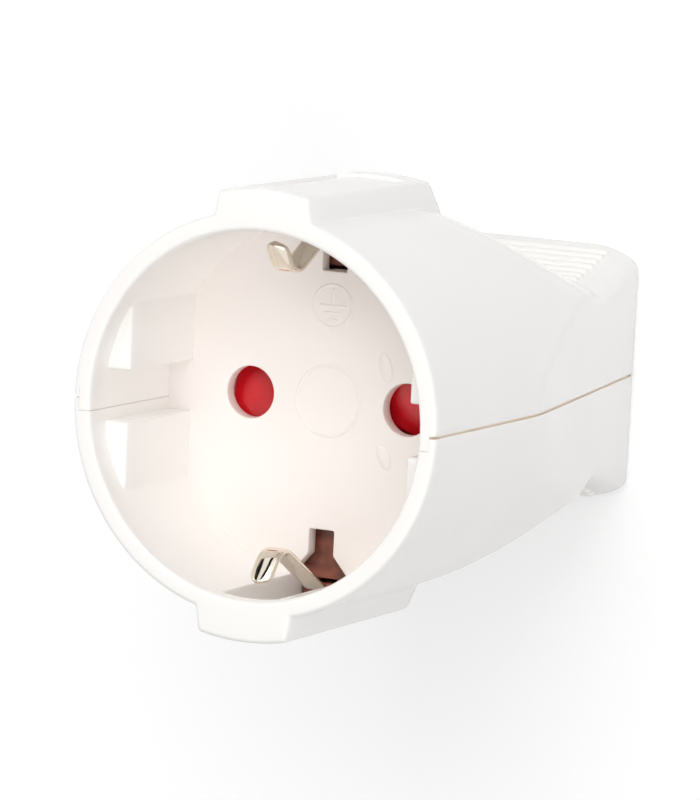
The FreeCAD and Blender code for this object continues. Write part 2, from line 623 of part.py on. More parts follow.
def earth_contact():
    """One strip folded round the carrier: a bridge, two arms, and a sprung clip on each arm."""
    bridge = CARRIER_BACK + STRIP_THICKNESS / 2
    half = [
        (ARM_OFFSET - CLIP_TIP_REACH, CLIP_TIP_DEPTH),
        (ARM_OFFSET - CLIP_CREST_REACH, CLIP_CREST_DEPTH),
        (ARM_OFFSET, CLIP_HEEL_DEPTH),
        (ARM_OFFSET, bridge),
    ]
    upper = [V(0, y, z_at(depth)) for y, depth in half]
    points = upper + [V(0, -p.y, p.z) for p in reversed(upper)]
    bends = [CREST_BEND_RADIUS, STRIP_BEND_RADIUS, STRIP_BEND_RADIUS]
    bends += reversed(bends)
    one = bent_outline(points, bends, STRIP_THICKNESS / 2)
    two = bent_outline(points, bends, -STRIP_THICKNESS / 2)
    ends = [
        Part.makeLine(one[0].Vertexes[0].Point, two[0].Vertexes[0].Point),
        Part.makeLine(one[-1].Vertexes[-1].Point, two[-1].Vertexes[-1].Point),
    ]
    outline = Part.Wire(Part.__sortEdges__(one + two + ends))
    section = Part.Face(outline)
    section.translate(-STRIP_HALF_WIDTH * X_AXIS)
    strip = section.extrude(2 * STRIP_HALF_WIDTH * X_AXIS)
    corners = []
    for edge in strip.Edges:
        short = edge.Length < STRIP_THICKNESS + LAP_CLEARANCE
        near_tip = min(z_at(v.Z) for v in edge.Vertexes) < CLIP_TIP_DEPTH + STRIP_THICKNESS
        if short and near_tip:
            corners.append(edge)
    strip = strip.makeFillet(STRIP_HALF_WIDTH - LAP_CLEARANCE, corners)
    pad = disc(BRIDGE_PAD_RADIUS, CARRIER_BACK, BRIDGE_BACK)
    hole = disc(SHANK_RADIUS + SCREW_CLEARANCE, CARRIER_BACK, BRIDGE_BACK)
    rivet_hole = disc(EARTH_SPIGOT_RADIUS, CARRIER_BACK, BRIDGE_BACK, 0, -EARTH_BLOCK_OFFSET)
    return strip.fuse(pad).cut([hole, rivet_hole]).removeSplitter()


def earth_terminal():
    """Brass block riveted to the bridge, with a wire bore and a tapped hole."""
    half = EARTH_BLOCK_WIDTH / 2
    low = -EARTH_BLOCK_OFFSET - EARTH_BLOCK_HEIGHT / 2
    back = BRIDGE_BACK + EARTH_BLOCK_LENGTH
    block = slab((-half, half), (low, low + EARTH_BLOCK_HEIGHT), BRIDGE_BACK, back)
    spigot_radius = EARTH_SPIGOT_RADIUS - SCREW_CLEARANCE
    spigot = disc(spigot_radius, CARRIER_BACK, BRIDGE_BACK, 0, -EARTH_BLOCK_OFFSET)
    wire = disc(WIRE_BORE_RADIUS, back - WIRE_BORE_DEPTH, back, 0, -EARTH_BLOCK_OFFSET)
    middle = back - WIRE_BORE_DEPTH / 2
    reach = (-EARTH_BLOCK_OFFSET, low + EARTH_BLOCK_HEIGHT)
    tapped = upright(SHANK_RADIUS + SCREW_CLEARANCE, 0, middle, reach)
    return block.fuse(spigot).cut([wire, tapped])


def earth_screw():
    """Screw of the earth terminal."""
    top = -EARTH_BLOCK_OFFSET + EARTH_BLOCK_HEIGHT / 2
    middle = BRIDGE_BACK + EARTH_BLOCK_LENGTH - WIRE_BORE_DEPTH / 2
    length = EARTH_BLOCK_HEIGHT / 2 - WIRE_BORE_RADIUS + TERMINAL_SCREW_REACH
    return screw_along(length, V(0, top, z_at(middle)), Y_AXIS)


def carrier_screw():
    """Screw through the bridge and the carrier into the base's post."""
    length = BRIDGE_BACK - FLOOR_DEPTH - BASE_SCREW_COVER - SCREW_CLEARANCE
    return screw_along(length, V(0, 0, z_at(BRIDGE_BACK)), -Z_AXIS)


def housing_screw(side):
    """Screw from under the lower shell into the upper one."""
    place = V(side * HOUSING_SCREW_X, -HOUSING_SCREW_SEAT, z_at(HOUSING_SCREW_DEPTH))
    return screw_along(HOUSING_SCREW_SEAT + HOUSING_SCREW_TIP, place, -Y_AXIS)


def cord_clamp():
    """Arched bar that presses the cord into its saddle."""
    front = CLAMP_DEPTH - CLAMP_LENGTH / 2
    back = front + CLAMP_LENGTH
    reach = CLAMP_SCREW_X + CLAMP_POST_RADIUS
    feet = slab((-reach, reach), (-CLAMP_SEAT, CLAMP_FOOT - CLAMP_SEAT), front, back)
    arch = disc(CORD_RADIUS + CLAMP_ARCH, front, back)
    arch = arch.cut(slab((-reach, reach), (-BODY_RADIUS, -CLAMP_SEAT), front, back))
    hole = SHANK_RADIUS + SCREW_CLEARANCE
    levels = (-CLAMP_SEAT, CLAMP_FOOT - CLAMP_SEAT)
    holes = [upright(hole, side * CLAMP_SCREW_X, CLAMP_DEPTH, levels) for side in SIDES]
    return feet.fuse(arch).cut(holes + [disc(CORD_RADIUS, 0, LENGTH)]).removeSplitter()


def clamp_screw(side):
    """Screw of the cord clamp."""
    place = V(side * CLAMP_SCREW_X, CLAMP_FOOT - CLAMP_SEAT, z_at(CLAMP_DEPTH))
    return screw_along(CLAMP_FOOT + CLAMP_SCREW_BITE, place, Y_AXIS)


def write(name, shape):
    """Save one piece as its own file."""
    solid = shape if shape.ShapeType == "Solid" else shape.Solids[0]
    solid.exportStep(os.path.join("parts", name + ".step"))
    print(f"{name}: {len(shape.Solids)} solid, {solid.Volume:.1f} mm3, valid {solid.isValid()}")


def main():
    """Build every piece and save it."""
    os.makedirs("parts", exist_ok=True)
    upper, lower = shells()
    write("upper_shell", upper)
    write("lower_shell", lower)
    write("contact_base", contact_base())
    write("shutter", shutter())
    write("shutter_spring", shutter_spring())
    write("contact_carrier", contact_carrier())
    write("carrier_screw", carrier_screw())
    write("earth_contact", earth_contact())
    write("earth_terminal", earth_terminal())
    write("earth_terminal_screw", earth_screw())
    write("cord_clamp", cord_clamp())
    for side, pole, hand in zip(SIDES, ("line", "neutral"), ("left", "right")):
        write(pole + "_contact", pin_contact(side))
        write(pole + "_terminal", pin_terminal(side))
        write(pole + "_terminal_screw", terminal_screw(side))
        write("housing_screw_" + hand, housing_screw(side))
        write("cord_clamp_screw_" + hand, clamp_screw(side))


main()
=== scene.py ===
"""Looks of the inline socket connector: glossy white shells, a pale contact base and a red shutter.

The part stands on its cable end, so the picture is taken from over its mouth with +Y up. Sizes are in
millimetres until a mesh is finished, and depths are measured from the rim down into the body.
"""
import bmesh
import bpy
import json
import math
import numpy as np
from mathutils import Matrix, Vector


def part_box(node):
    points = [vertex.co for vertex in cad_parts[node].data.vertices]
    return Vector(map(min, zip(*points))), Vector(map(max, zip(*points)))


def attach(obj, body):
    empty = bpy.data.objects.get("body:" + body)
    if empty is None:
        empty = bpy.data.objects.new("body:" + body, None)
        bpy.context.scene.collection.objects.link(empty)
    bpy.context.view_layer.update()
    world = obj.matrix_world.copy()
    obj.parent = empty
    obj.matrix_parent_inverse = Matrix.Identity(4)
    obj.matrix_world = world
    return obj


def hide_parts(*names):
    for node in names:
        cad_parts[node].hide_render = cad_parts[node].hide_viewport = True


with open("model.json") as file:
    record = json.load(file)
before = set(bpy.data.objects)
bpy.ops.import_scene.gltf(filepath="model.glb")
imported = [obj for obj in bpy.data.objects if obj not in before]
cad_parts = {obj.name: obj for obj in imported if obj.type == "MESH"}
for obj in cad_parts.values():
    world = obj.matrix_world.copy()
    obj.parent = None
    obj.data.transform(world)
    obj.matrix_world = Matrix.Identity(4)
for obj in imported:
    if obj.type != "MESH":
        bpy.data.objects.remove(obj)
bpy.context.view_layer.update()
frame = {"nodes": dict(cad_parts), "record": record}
NODES = frame["nodes"]
MM = 0.001
SIDES = (-1, 1)
X_AXIS = Vector((1, 0, 0))
Y_AXIS = Vector((0, 1, 0))
Z_AXIS = Vector((0, 0, 1))

# Sizes read from the frame
SHELL_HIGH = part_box("upper_shell")[1] / MM
LENGTH = SHELL_HIGH.z
BODY_RADIUS = SHELL_HIGH.x
BOSS_RADIUS = SHELL_HIGH.y
FLOOR_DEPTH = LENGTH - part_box("contact_base")[1].z / MM

# Shell form
WALL = 2.05
END_WALL = 2.6
BORE_RADIUS = BODY_RADIUS - WALL
TAPER_DEPTH = 25.5
TAIL_HALF_WIDTH = 14.4
SHOULDER_DEPTH = 29.4
SHOULDER_SLOPE = 0.75
SHOULDER_REACH = 7.0
WAIST_DEPTH = 52.0
WAIST_HALF_HEIGHT = 10.9
WAIST_REACH = 6.5
FLARE_REACH = 4.5
TAIL_HALF_HEIGHT = 14.8
TAIL_SLOPE = 0.38
GRIP_CURVE_POINTS = 160
CORD_ENTRY_RADIUS = 4.6

# Sloping corners of the tail: the way they face, their distance from the axis, and how they run out
CORNER_FACING = math.radians(66)
CORNER_REACH = 17.75
CORNER_START = 56.0
CORNER_RISE = 0.45

# Joint between the shells, which are lapped inside the wall
HALF_SEAM = 0.14
LAP_DEPTH = 1.45
LAP_GAP = 0.04
LAP_INSET = 0.32
RIM_LAP_INSET = 0.76
LAP_START = 2.0
LAP_POINTS = 30

# Bosses over the earth clips, and the panel sunk in the upper one
BOSS_TOP_HALF_WIDTH = 5.2
BOSS_FOOT_HALF_WIDTH = 5.6
BOSS_LENGTH = 28.6
BOSS_END_SLOPE = 1.6
PANEL_HALF_WIDTH = 4.1
PANEL_DEPTH = 0.4
PANEL_MARGIN = 3.6
PANEL_EDGE = 0.16

# Plug recess
LUG_FLAT = 16.7
LUG_FRONT = 3.35
KEYWAY_HALF_WIDTH = 2.8
POCKET_HALF_WIDTH = 3.3
POCKET_WALL = 1.8
POCKET_ROOF = BOSS_RADIUS - POCKET_WALL
POCKET_START = 1.6
POCKET_END = 27.6

# Edge rounds of the mouldings
RIM_ROUND = 0.55
TAIL_ROUND = 0.9
LUG_ROUND = 0.45
SEAM_ROUND = 0.16
FLOOR_EDGE_ROUND = 0.16
SMALL_EDGE_ROUND = 0.15
KINK_SOFTNESS = 0.4
GRIP_SOFTNESS = 4.2
BOSS_SOFTNESS = 0.7
LUG_SOFTNESS = 0.6
CORNER_SOFTNESS = 1.2

# Mesh columns of a shell: height of the first over the joint, then stretches of degrees: start, end, step
SEAM_COLUMN_HEIGHT = 0.25
SEAM_COLUMNS_END = 7.6
COLUMN_STRETCHES = (
    (2.0, 7.0, 1.5),
    (SEAM_COLUMNS_END, 10.6, 0.3),
    (11.0, 62.0, 1.0),
    (62.0, 73.0, 1.5),
    (73.2, 79.2, 0.3),
    (80.5, 82.2, 0.3),
)
CROWN_COLUMNS = [83.5, 85.0, 86.6, 88.3]

# Mesh rows of a shell: depths and steps down the outside, and counts round its edges and inside
RIM_ROWS = [1.2, 2.2]
BARREL_ROWS_START = 5.0
BARREL_ROW_STEP = 1.5
PANEL_ROW_MARGIN = 1.0
SHOULDER_ROWS_START = 26.0
SHOULDER_ROW_STEP = 0.4
GRIP_ROWS_START = 34.0
GRIP_ROW_STEP = 0.8
TAIL_ROW_MARGIN = 0.3
ROUND_ROWS = 6
LUG_ROUND_ROWS = 5
LUG_ROWS = 8
INSIDE_ROWS = 22

# Limits that clean a mesh: points that count as one, and angles past which an edge is crisp or gets a bevel
MERGE_DISTANCE = 0.002
WELD_DISTANCE = 0.001
FINE_WELD_DISTANCE = 0.0005
CRISP_ANGLE = math.radians(38)
BEVEL_ANGLE = math.radians(32)

# Smallest share of a direction, so that nothing is divided by zero
SMALLEST_SHARE = 1e-6

# Rims of the recess floor and the shutter: the band that counts as rim, and how far out it reaches
FLOOR_RIM_BAND = 0.2
FLOOR_RIM_FIT = 0.03
SHUTTER_RADIUS = 12.6
SHUTTER_RIM_BAND = 0.1
SHUTTER_RIM_REACH = 0.2

# Grip ribs
RIB_COUNT = 9
RIB_PITCH = 1.35
RIB_RADIUS = 0.5
RIB_SINK = 0.1
RIB_HALF_LENGTH = 11.4
RIB_END_MARGIN = 2.6
RIB_MIDDLE_BAND = 0.1

# Housing screws, with a sunk well in the lower shell and a pillar in both
SCREW_LOW, SCREW_HIGH = (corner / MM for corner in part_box("housing_screw_right"))
SCREW_X = (SCREW_LOW.x + SCREW_HIGH.x) / 2
SCREW_Z = (SCREW_LOW.z + SCREW_HIGH.z) / 2
SCREW_HEAD_HEIGHT = 1.8
SCREW_SEAT = SCREW_LOW.y + SCREW_HEAD_HEIGHT
SHANK_RADIUS = 1.45
BORE_CLEARANCE = 0.05
TIP_CLEARANCE = 0.3
SCREW_BORE = SHANK_RADIUS + BORE_CLEARANCE
BORE_TOP = 1.0
WELL_RADIUS = 2.8
WELL_FLARE = 1.4
WELL_MOUTH = 10.8
PILLAR_RADIUS = 4.0
PILLAR_GAP = 2 * HALF_SEAM
PILLAR_COVER = 0.6
PILLAR_FOOT = WELL_MOUTH - PILLAR_COVER

# Posts of the cord clamp in the lower shell
CLAMP_SCREW_LOW, CLAMP_SCREW_HIGH = (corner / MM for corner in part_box("cord_clamp_screw_right"))
CLAMP_SCREW_X = (CLAMP_SCREW_LOW.x + CLAMP_SCREW_HIGH.x) / 2
CLAMP_SCREW_Z = (CLAMP_SCREW_LOW.z + CLAMP_SCREW_HIGH.z) / 2
CLAMP_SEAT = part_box("cord_clamp")[0].y / MM
CLAMP_POST_RADIUS = 2.3

# Earth strip, with a sprung clip at each end
STRIP_LOW, STRIP_HIGH = (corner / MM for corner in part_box("earth_contact"))
STRIP_HALF_WIDTH = 1.35
STRIP_THICKNESS = 0.7
ARM_Y = STRIP_HIGH.y - STRIP_THICKNESS / 2
BRIDGE_Z = STRIP_LOW.z + STRIP_THICKNESS / 2
CLIP_TIP_DEPTH = 3.3
CLIP_TIP_REACH = 2.2
CLIP_CREST_DEPTH = 6.5
CLIP_CREST_REACH = 5.9
CLIP_HEEL_DEPTH = 17.0
CREST_BEND_RADIUS = 2.6
STRIP_BEND_RADIUS = 1.8
BEND_STEPS = 12
NOSE_POINTS = 12
CLIP_CROWN = 0.3
CROWN_LENGTH = 4 * STRIP_HALF_WIDTH
STRIP_EDGE_POWER = 6
STRIP_COLUMN_SHARES = [0.25, 0.5, 0.7, 0.85, 0.94, 0.985, 1]
PAD_RADIUS = 3.9
PAD_LAP = 1.0

# Guide of the carrier round each arm of the strip, just behind the recess floor
GUIDE_HALF_WIDTH = 3.1
GUIDE_START = 18.2
GUIDE_END = 22.1
GUIDE_GAP = 0.25
GUIDE_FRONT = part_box("contact_carrier")[1].z / MM
GUIDE_THICKNESS = 2.4

# Raised marks on the recess floor. An earth sign's bar has its drop below the stem and half its length.
MARK_SINK = 0.1
CENTRE_RING_RADIUS = 3.8
EARTH_RING_RADIUS = 2.3
EARTH_RING_Y = 10.3
EARTH_STEM = 1.8
EARTH_BARS = ((0.0, 1.45), (0.75, 0.95), (1.5, 0.45))
RING_WIDTH = 0.34
RING_HEIGHT = 0.12
BEAD_POINTS = 7
BAR_MIDDLE_BAND = 0.01
LEAF_HALF_WIDTH = 0.75
LEAF_HEIGHT = 0.3
LEAVES = (((6.3, 5.9), (7.2, 2.7)), ((6.4, -4.1), (7.7, -6.7)))

# Finishes: the usual range of a noise, plastic's refraction, metal's streaks and tarnish, a card's weave
NOISE_LOW = 0.3
NOISE_HIGH = 0.7
PLASTIC_IOR = 1.52
STREAK_STRETCH = (1.0, 0.12, 0.12)
STREAK_DEPTH = 0.01
STREAK_STRENGTH = 0.2
TARNISH_SIZE = 3.0
FLAG_WEAVE = 2.0

# Camera, from the fit to the photograph
VIEW_YAW = math.radians(26.67)
VIEW_PITCH = math.radians(7.53)
VIEW_ROLL = math.radians(2.924)
VIEW_DISTANCE = 620.0
VIEW_TARGET = (1.434, 0.036, 46.0)
VIEW_LENS = 258.33
VIEW_SENSOR = 36.0
VIEW_END = 10000.0

# Light: even surroundings and square lamps in metres, each with the way it stands and its watts
SKY_LEVEL = 0.1
LAMP_DISTANCE = 0.75
LAMP_SIZE = 0.6
LAMPS = (
    ("front", (0.0, 0.0, 1.0), 0.43),
    ("right_front", (0.65, 0.15, 0.75), 1.23),
    ("top_front", (0.15, 0.65, 0.75), 2.55),
    ("upper_right", (0.55, 0.55, 0.63), 0.35),
    ("upper_left", (-0.45, 0.5, 0.74), 0.8),
    ("right", (1.0, -0.25, 0.15), 0.25),
    ("low_right", (0.45, -0.5, 0.74), 1.8),
    ("low_left", (-0.25, -0.5, 0.83), 0.3),
    ("left", (-1.0, 0.1, 0.3), 1.2),
)

# Paper under the part, in metres: its size, and where it fades to plain white. Its glow lifts the shadow.
PAPER_SIZE = 6.0
PAPER_NEAR = 0.25
PAPER_FAR = 0.8
PAPER_GLOW = 0.2

# Dark cards in metres that only gloss and bright metal show, each with the way it stands and its width
FLAG_DISTANCE = 0.5
FLAG_HEIGHT = 0.3
FLAGS = (("flag_left", (-0.62, 0.76, 0.17), 0.13), ("flag_top", (-0.2, 0.92, 0.33), 0.1))


def rgb(text):
    """Linear colour of an sRGB hex value."""
    parts = [int(text[i:i + 2], 16) / 255 for i in (1, 3, 5)]
    return [p / 12.92 if p <= 0.04045 else ((p + 0.055) / 1.055) ** 2.4 for p in parts] + [1.0]


def per_metre(size):
    """Texture scale that gives features of a size in millimetres."""
    return 1 / (size * MM)


def add_node(tree, kind, inputs=None, **settings):
    """Add a node, set its options, and link or set its inputs by name or number."""
    node = tree.nodes.new(kind)
    for name, value in settings.items():
        setattr(node, name, value)
    for key, value in (inputs or {}).items():
        if isinstance(value, bpy.types.NodeSocket):
            tree.links.new(value, node.inputs[key])
        else:
            node.inputs[key].default_value = value
    return node


def blank_material(name):
    """Material with an empty node tree."""
    material = bpy.data.materials.new(name)
    material.use_nodes = True
    material.node_tree.nodes.clear()
    return material, material.node_tree


def finish_material(material, shader):
    """Send a shader to the material's surface."""
    add_node(material.node_tree, "ShaderNodeOutputMaterial", {"Surface": shader})
    return material


def moulded_plastic(name, light, dark, cloud, roughness):
    """Injection moulding: an even colour with faint broad flow clouds, and a gloss that follows them."""
    material, tree = blank_material(name)
    place = add_node(tree, "ShaderNodeTexCoord").outputs["Object"]
    clouds = add_node(tree, "ShaderNodeTexNoise", {
        "Vector": place, "Scale": per_metre(cloud), "Detail": 0.0}).outputs["Fac"]
    colour = add_node(tree, "ShaderNodeValToRGB", {"Fac": clouds})
    colour.color_ramp.elements[0].color = rgb(dark)
    colour.color_ramp.elements[1].color = rgb(light)
    colour.color_ramp.elements[0].position = NOISE_LOW
    colour.color_ramp.elements[1].position = NOISE_HIGH
    gloss = add_node(tree, "ShaderNodeMapRange", {
        "Value": clouds, "From Min": NOISE_LOW, "From Max": NOISE_HIGH,
        "To Min": roughness[0], "To Max": roughness[1]})
    shader = add_node(tree, "ShaderNodeBsdfPrincipled", {
        "Base Color": colour.outputs["Color"], "Roughness": gloss.outputs["Result"], "IOR": PLASTIC_IOR})
    return finish_material(material, shader.outputs["BSDF"])


def housing_abs():
    """ABS from a polished mould: warm white, glossy, with a broad soft highlight."""
    return moulded_plastic("glossy_white_abs", "#fcfaf7", "#fbf8f5", 14.0, (0.2, 0.25))


def seam_shade_abs():
    """ABS in the joint between the shells, tinted a warm, dull tan there: painted shade of the groove."""
    return moulded_plastic("painted_seam_shade", "#f3e6d6", "#e8d6bf", 5.0, (0.4, 0.5))


def insert_abs():
    """ABS from a plainer mould: a slightly pinker white with a softer gloss."""
    return moulded_plastic("satin_white_abs", "#fcf5f1", "#faf3ee", 12.0, (0.36, 0.42))


def shutter_plastic():
    """Crimson acetal: deep red body colour under a slick gloss."""
    return moulded_plastic("crimson_acetal", "#dc1c28", "#c8121d", 3.0, (0.1, 0.2))


def phenolic():
    """Brown phenolic moulding: dull, with paler filler specks."""
    return moulded_plastic("brown_phenolic", "#8a4f3e", "#6b382b", 1.1, (0.35, 0.5))


def rolled_metal(name, light, dark, roughness, streak):
    """Sheet or turned metal: fine rolling streaks along the strip and a little tarnish."""
    material, tree = blank_material(name)
    place = add_node(tree, "ShaderNodeTexCoord").outputs["Object"]
    stretch = add_node(tree, "ShaderNodeMapping", {"Vector": place, "Scale": STREAK_STRETCH})
    streaks = add_node(tree, "ShaderNodeTexNoise", {
        "Vector": stretch.outputs["Vector"], "Scale": per_metre(streak), "Detail": 3.0}).outputs["Fac"]
    tarnish = add_node(tree, "ShaderNodeTexNoise", {
        "Vector": place, "Scale": per_metre(TARNISH_SIZE), "Detail": 2.0})
    colour = add_node(tree, "ShaderNodeValToRGB", {"Fac": tarnish.outputs["Fac"]})
    colour.color_ramp.elements[0].color = rgb(dark)
    colour.color_ramp.elements[1].color = rgb(light)
    gloss = add_node(tree, "ShaderNodeMapRange", {
        "Value": streaks, "From Min": NOISE_LOW, "From Max": NOISE_HIGH,
        "To Min": roughness[0], "To Max": roughness[1]})
    bump = add_node(tree, "ShaderNodeBump", {
        "Height": streaks, "Strength": STREAK_STRENGTH, "Distance": STREAK_DEPTH * MM})
    shader = add_node(tree, "ShaderNodeBsdfPrincipled", {
        "Base Color": colour.outputs["Color"], "Roughness": gloss.outputs["Result"],
        "Normal": bump.outputs["Normal"], "Metallic": 1.0})
    return finish_material(material, shader.outputs["BSDF"])


def nickel_plate():
    """Bright nickel on brass strip: a warm grey mirror with faint rolling lines."""
    return rolled_metal("bright_nickel", "#f0e8dc", "#e4d8c6", (0.05, 0.12), 0.25)


def brass():
    """Plain brass strip and bar: yellow, slightly dulled."""
    return rolled_metal("brass", "#d9b25f", "#b98c3f", (0.3, 0.4), 0.3)


def zinc_steel():
    """Zinc-plated steel screws: cool grey with a soft shine."""
    return rolled_metal("zinc_plated_steel", "#c9cbcc", "#a9adb0", (0.3, 0.42), 0.2)


def spring_steel():
    """Drawn spring wire: dark and smooth."""
    return rolled_metal("spring_steel", "#8d8f92", "#6c6f73", (0.3, 0.38), 0.2)


def dress_nodes():
    """Give every CAD node its material."""
    makers = {"housing_abs": housing_abs, "insert_abs": insert_abs, "shutter_plastic": shutter_plastic,
              "phenolic": phenolic, "nickel": nickel_plate, "brass": brass, "zinc_steel": zinc_steel,
              "spring_steel": spring_steel}
    finishes = {slot: make() for slot, make in makers.items()}
    for entry in frame["record"]["subparts"]:
        mesh = NODES[entry["node"]].data
        mesh.materials.clear()
        mesh.materials.append(finishes[entry["material_slot"]])
    return finishes


FINISHES = dress_nodes()


def smooth_min(a, b, reach):
    """The lower of two values, rounded over a reach where they cross."""
    near = np.clip(1 - np.abs(a - b) / reach, 0, 1)
    return np.minimum(a, b) - reach * near ** 2 / 4


def smooth_max(a, b, reach):
    """The higher of two values, rounded over a reach where they cross."""
    return -smooth_min(-a, -b, reach)


def bezier(poles, count):
    """Points along a cubic curve."""
    t = np.linspace(0, 1, count)[:, None]
    p0, p1, p2, p3 = (np.array(p) for p in poles)
    return (1 - t) ** 3 * p0 + 3 * t * (1 - t) ** 2 * p1 + 3 * t ** 2 * (1 - t) * p2 + t ** 3 * p3


def drop_poles():
    """Depth and height of the curve from the shoulder to the waist."""
    return [(SHOULDER_DEPTH, BODY_RADIUS),
            (SHOULDER_DEPTH + SHOULDER_REACH, BODY_RADIUS - SHOULDER_REACH * SHOULDER_SLOPE),
            (WAIST_DEPTH - WAIST_REACH, WAIST_HALF_HEIGHT), (WAIST_DEPTH, WAIST_HALF_HEIGHT)]


def flare_poles():
    """Depth and height of the curve from the waist to the tail."""
    return [(WAIST_DEPTH, WAIST_HALF_HEIGHT), (WAIST_DEPTH + FLARE_REACH, WAIST_HALF_HEIGHT),
            (LENGTH - FLARE_REACH, TAIL_HALF_HEIGHT - FLARE_REACH * TAIL_SLOPE), (LENGTH, TAIL_HALF_HEIGHT)]


GRIP_LINE = np.vstack([[0, BODY_RADIUS + SHOULDER_DEPTH * SHOULDER_SLOPE],
                       bezier(drop_poles(), GRIP_CURVE_POINTS), bezier(flare_poles(), GRIP_CURVE_POINTS)[1:]])


def half_height(depth):
    """Half the body's height along the seam's normal."""
    return np.interp(depth, GRIP_LINE[:, 0], GRIP_LINE[:, 1])


def half_width(depth):
    """Half the distance between the two flat sides."""
    slope = (BODY_RADIUS - TAIL_HALF_WIDTH) / (LENGTH - TAPER_DEPTH)
    return BODY_RADIUS - slope * (depth - TAPER_DEPTH)


def shares(angle):
    """How far a direction goes across and upward, never quite zero."""
    return np.abs(np.cos(angle)) + SMALLEST_SHARE, np.abs(np.sin(angle)) + SMALLEST_SHARE


def skin_radius(angle, depth, inset):
    """Body without its bosses, moved in from the outer skin by an inset."""
    across, upward = shares(angle)
    side = (half_width(depth) - inset) / across
    grip = (half_height(depth) - inset) / upward
    reach = CORNER_REACH + CORNER_RISE * max(0, CORNER_START - depth) - inset
    corner = reach / (across * math.cos(CORNER_FACING) + upward * math.sin(CORNER_FACING))
    body = smooth_min(smooth_min(BODY_RADIUS - inset, side, KINK_SOFTNESS), grip, GRIP_SOFTNESS)
    return smooth_min(body, corner, CORNER_SOFTNESS)


def boss_radius(angle, depth, inset, panel):
    """Boss with drafted sides and a sloping end, with or without the panel sunk in it."""
    across, upward = shares(angle)
    draft = (BOSS_FOOT_HALF_WIDTH - BOSS_TOP_HALF_WIDTH) / (BOSS_RADIUS - BODY_RADIUS)
    side = (BOSS_FOOT_HALF_WIDTH - inset + draft * BODY_RADIUS) / (across + draft * upward)
    lean = BOSS_END_SLOPE / (BOSS_RADIUS - BODY_RADIUS)
    end = (BOSS_RADIUS - inset - (depth - BOSS_LENGTH) / lean) / upward
    crown = BOSS_RADIUS - inset
    if panel:
        inside = PANEL_HALF_WIDTH - BOSS_RADIUS * across
        along = np.minimum(depth - PANEL_MARGIN, BOSS_LENGTH - PANEL_MARGIN - depth)
        crown = crown - PANEL_DEPTH * np.clip(np.minimum(inside, along) / PANEL_EDGE + 0.5, 0, 1)
    return smooth_min(smooth_min(crown, side, BOSS_SOFTNESS), end, BOSS_SOFTNESS)


def outer_radius(angle, depth, inset, panel):
    """Whole outside of a shell."""
    skin = skin_radius(angle, depth, inset)
    return smooth_max(skin, boss_radius(angle, depth, inset, panel), BOSS_SOFTNESS / 2)


def recess_radius(angle, lugs=False, pocket=True, lug_inset=0):
    """Inside of the plug recess, with the guide lugs and the pocket for the earth clip."""
    across, upward = shares(angle)
    radius = np.full_like(angle, BORE_RADIUS)
    if lugs:
        flat = (LUG_FLAT + lug_inset) / across
        keyway = (KEYWAY_HALF_WIDTH + lug_inset) / upward
        radius = np.minimum(radius, smooth_max(flat, keyway, LUG_SOFTNESS))
    if pocket:
        radius = np.maximum(radius, np.minimum(POCKET_ROOF / upward, POCKET_HALF_WIDTH / across))
    return radius


def column_angles():
    """Angles of the mesh columns from one end of the seam to the other, closer at every edge."""
    quarter = [0.0, math.degrees(math.asin((HALF_SEAM + SEAM_COLUMN_HEIGHT) / BODY_RADIUS))]
    for start, end, step in COLUMN_STRETCHES:
        quarter += list(np.arange(start, end, step))
    for half_edge in (PANEL_EDGE / 2, -PANEL_EDGE / 2):
        quarter.append(math.degrees(math.acos((PANEL_HALF_WIDTH + half_edge) / BOSS_RADIUS)))
    quarter = sorted(quarter) + CROWN_COLUMNS
    return np.radians(quarter + [90.0] + [180 - angle for angle in reversed(quarter)])


def depth_rows():
    """Depths of the mesh rows down the outside, closer at the panel, the boss's end and the flare."""
    edge = PANEL_EDGE / 2
    near, far = PANEL_MARGIN, BOSS_LENGTH - PANEL_MARGIN
    rows = RIM_ROWS + [near - edge, near + edge]
    rows += list(np.arange(BARREL_ROWS_START, far - PANEL_ROW_MARGIN, BARREL_ROW_STEP))
    rows += [far - edge, far + edge]
    rows += list(np.arange(SHOULDER_ROWS_START, GRIP_ROWS_START, SHOULDER_ROW_STEP))
    rows += list(np.arange(GRIP_ROWS_START, LENGTH - TAIL_ROUND - TAIL_ROW_MARGIN, GRIP_ROW_STEP))
    return rows


def round_steps(count):
    """Shares of a quarter round: how far along and how far in, from the flank to the face."""
    turns = np.linspace(0, math.pi / 2, count)
    return [(1 - math.sin(t), 1 - math.cos(t)) for t in turns]


def seam_turn(angles, edge_angle):
    """Columns stretched so that the first and last lie at the seam's edge on this row."""
    hinge = math.radians(SEAM_COLUMNS_END)
    low = edge_angle + (hinge - edge_angle) * angles / hinge
    high = math.pi - (edge_angle + (hinge - edge_angle) * (math.pi - angles) / hinge)
    return np.where(angles < hinge, low, np.where(angles > math.pi - hinge, high, angles))


